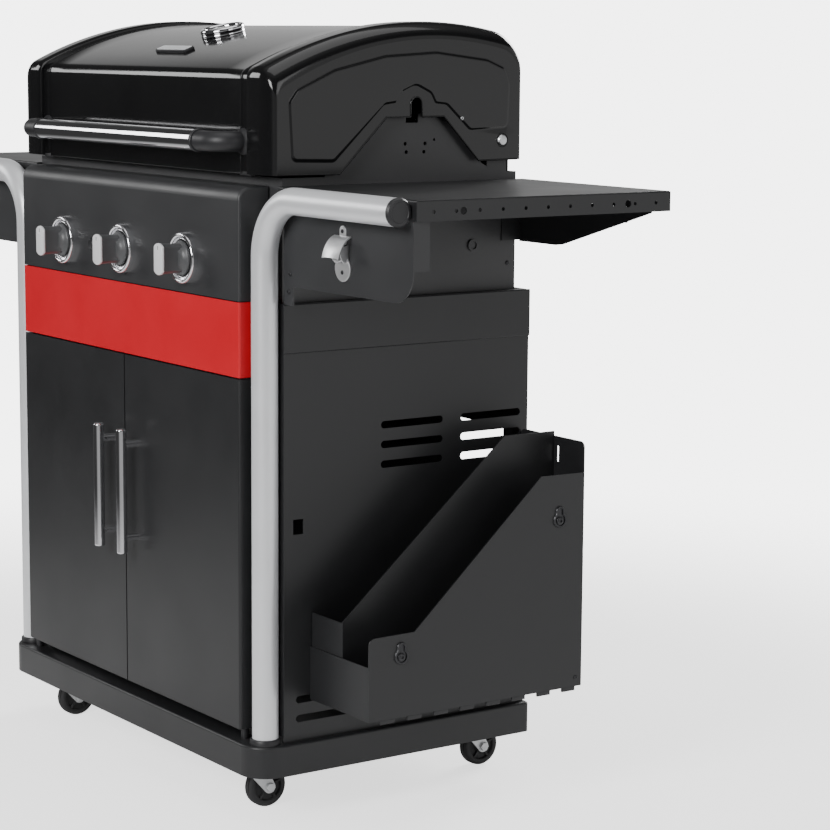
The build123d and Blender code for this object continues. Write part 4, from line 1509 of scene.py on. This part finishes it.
# ---- studio -------------------------------------------------------------------------
@dataclass
class Studio:
    """Plain floor, soft light and the camera.

    Each lamp has a name, a place, the point it looks at, its two sides and its power in watts.
    """

    floor_size: float = 5.4
    eye: Triple = (3.3495, -2.0150, 1.1246)
    yaw: float = math.radians(55.12)
    pitch: float = math.radians(8.63)
    roll: float = math.radians(0.41)
    lens: float = 108.53
    lamps: tuple[tuple, ...] = (
        ("overhead", (0.3, 0.1, 3.4), (0.0, 0.0, 0.6), (2.6, 2.2), 22.0),
        ("key", (1.6, -4.0, 2.4), (0.1, 0.0, 0.6), (1.8, 1.8), 162.0),
        ("side", (4.4, 0.6, 2.2), (0.2, 0.0, 0.5), (1.6, 1.8), 18.0),
        ("left", (-3.8, -2.4, 2.2), (0.0, 0.0, 0.6), (1.4, 1.6), 42.0),
        ("rear", (-1.6, 4.4, 2.6), (0.0, 0.0, 0.6), (2.0, 2.0), 205.0),
    )

    def build(self) -> None:
        """Builds floor, world, lamps and camera."""
        half = self.floor_size / 2
        mesh = bpy.data.meshes.new("studio_floor_mesh")
        mesh.from_pydata(
            [(-half, -half, 0), (half, -half, 0), (half, half, 0), (-half, half, 0)], [], [(0, 1, 2, 3)]
        )
        floor = bpy.data.objects.new("studio_floor", mesh)
        mesh.materials.append(self._floor_finish())
        bpy.context.scene.collection.objects.link(floor)
        self._world()
        for lamp in self.lamps:
            self._lamp(*lamp)
        self._camera()

    @staticmethod
    def _world() -> None:
        """A white room to the camera, and a bright low backdrop behind the grill to everything else.

        The light of a direction is 0.05, plus 0.62 where it points behind the grill and less
        than about 25 degrees upwards, plus 0.35 straight above, plus 0.34 low on the right.
        """
        world = bpy.data.worlds.new("studio_world")
        bpy.context.scene.world = world
        world.use_nodes = True
        tree = world.node_tree

        def combine(operation: str, first: Socket, second: Socket) -> Socket:
            """A sum or product of two values."""
            return add_node(tree, "Math", {0: first, 1: second}, operation).outputs[0]

        place = add_node(tree, "TexCoord").outputs["Generated"]
        x, y, z = add_node(tree, "SeparateXYZ", {0: place}).outputs
        low = smooth_ramp(tree, z, (0.33, 0.46, 1.0, 0.0))
        behind = smooth_ramp(tree, y, (-0.10, 0.35, 0.0, 0.62))
        above = smooth_ramp(tree, z, (0.6, 1.0, 0.05, 0.40))
        below = smooth_ramp(tree, z, (-0.02, 0.12, 1.0, 0.0))
        right = smooth_ramp(tree, x, (0.05, 0.60, 0.0, 0.34))
        level = combine("ADD", combine("MULTIPLY", low, behind), above)
        level = combine("ADD", level, combine("MULTIPLY", below, right))
        white = smooth_ramp(tree, add_node(tree, "LightPath").outputs["Is Camera Ray"], (0.0, 1.0, 0.0, 4.5))
        feed(
            tree, tree.nodes["Background"],
            {"Color": (1.0, 1.0, 1.0, 1.0), "Strength": combine("ADD", level, white)}
        )

    @staticmethod
    def _floor_finish() -> bpy.types.Material:
        """A pale floor that fades out with the distance, so that it has no edge.

        Returns:
            The material.
        """
        material = bpy.data.materials.new("studio_floor_paint")
        material.use_nodes = True
        tree = material.node_tree
        seen = add_node(tree, "LightPath").outputs["Is Camera Ray"]
        glow = add_node(tree, "MapRange", {"To Min": 0.15, "To Max": 1.6, "Value": seen})
        reach = add_node(tree, "VectorMath", {0: add_node(tree, "TexCoord").outputs["Object"]}, "LENGTH")
        feed(tree, tree.nodes["Principled BSDF"], {
            "Base Color": (0.86, 0.86, 0.86, 1.0), "Roughness": 0.7, "Specular IOR Level": 0.1,
            "Emission Color": (1.0, 1.0, 1.0, 1.0), "Emission Strength": glow.outputs["Result"],
            "Alpha": smooth_ramp(tree, reach.outputs["Value"], (0.9, 2.6, 1.0, 0.0)),
        })
        return material

    @staticmethod
    def _lamp(name: str, spot: Triple, target: Triple, size: Pair, power: float) -> None:
        """A soft rectangular lamp.

        Args:
            name: of the lamp.
            spot, target: where it hangs and what it looks at.
            size: its two sides.
            power: in watts.
        """
        light = bpy.data.lights.new(name, "AREA")
        light.shape = "RECTANGLE"
        light.size, light.size_y = size
        light.energy = power
        lamp = bpy.data.objects.new(name, light)
        lamp.location = spot
        lamp.rotation_euler = (Vector(target) - Vector(spot)).to_track_quat("-Z", "Y").to_euler()
        bpy.context.scene.collection.objects.link(lamp)

    def _camera(self) -> None:
        """The camera, from its yaw, pitch and roll."""
        level = math.cos(self.pitch)
        ahead = np.array([-math.sin(self.yaw) * level, math.cos(self.yaw) * level, -math.sin(self.pitch)])
        right = np.array([math.cos(self.yaw), math.sin(self.yaw), 0.0])
        up = np.cross(right, ahead)
        x = math.cos(self.roll) * right + math.sin(self.roll) * up
        y = -math.sin(self.roll) * right + math.cos(self.roll) * up
        data = bpy.data.cameras.new("camera")
        data.lens = self.lens
        data.sensor_width = 36.0
        data.clip_end = 100.0
        camera = bpy.data.objects.new("camera", data)
        pose = Matrix.Identity(4)
        for row in range(3):
            pose[row] = (x[row], y[row], -ahead[row], self.eye[row])
        camera.matrix_world = pose
        bpy.context.scene.collection.objects.link(camera)
        bpy.context.scene.camera = camera


def main() -> None:
    """Builds the whole scene in order."""
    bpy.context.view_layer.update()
    CadFinishes().dress(frame["nodes"])
    for part in (Lid(), Handle(), Gauge(), Controls(), Rails(), Opener(), Fittings()):
        LOG.info("building %s", type(part).__name__)
        part.build()
    for row, y in (("front", -0.1782), ("rear", 0.2108)):
        for side, x in (("right", 0.302), ("left", -0.302)):
            Caster(f"{row}_{side}", x, y).build()
    Studio().build()


if __name__ == "__main__":
    logging.basicConfig(level=logging.INFO)
    main()
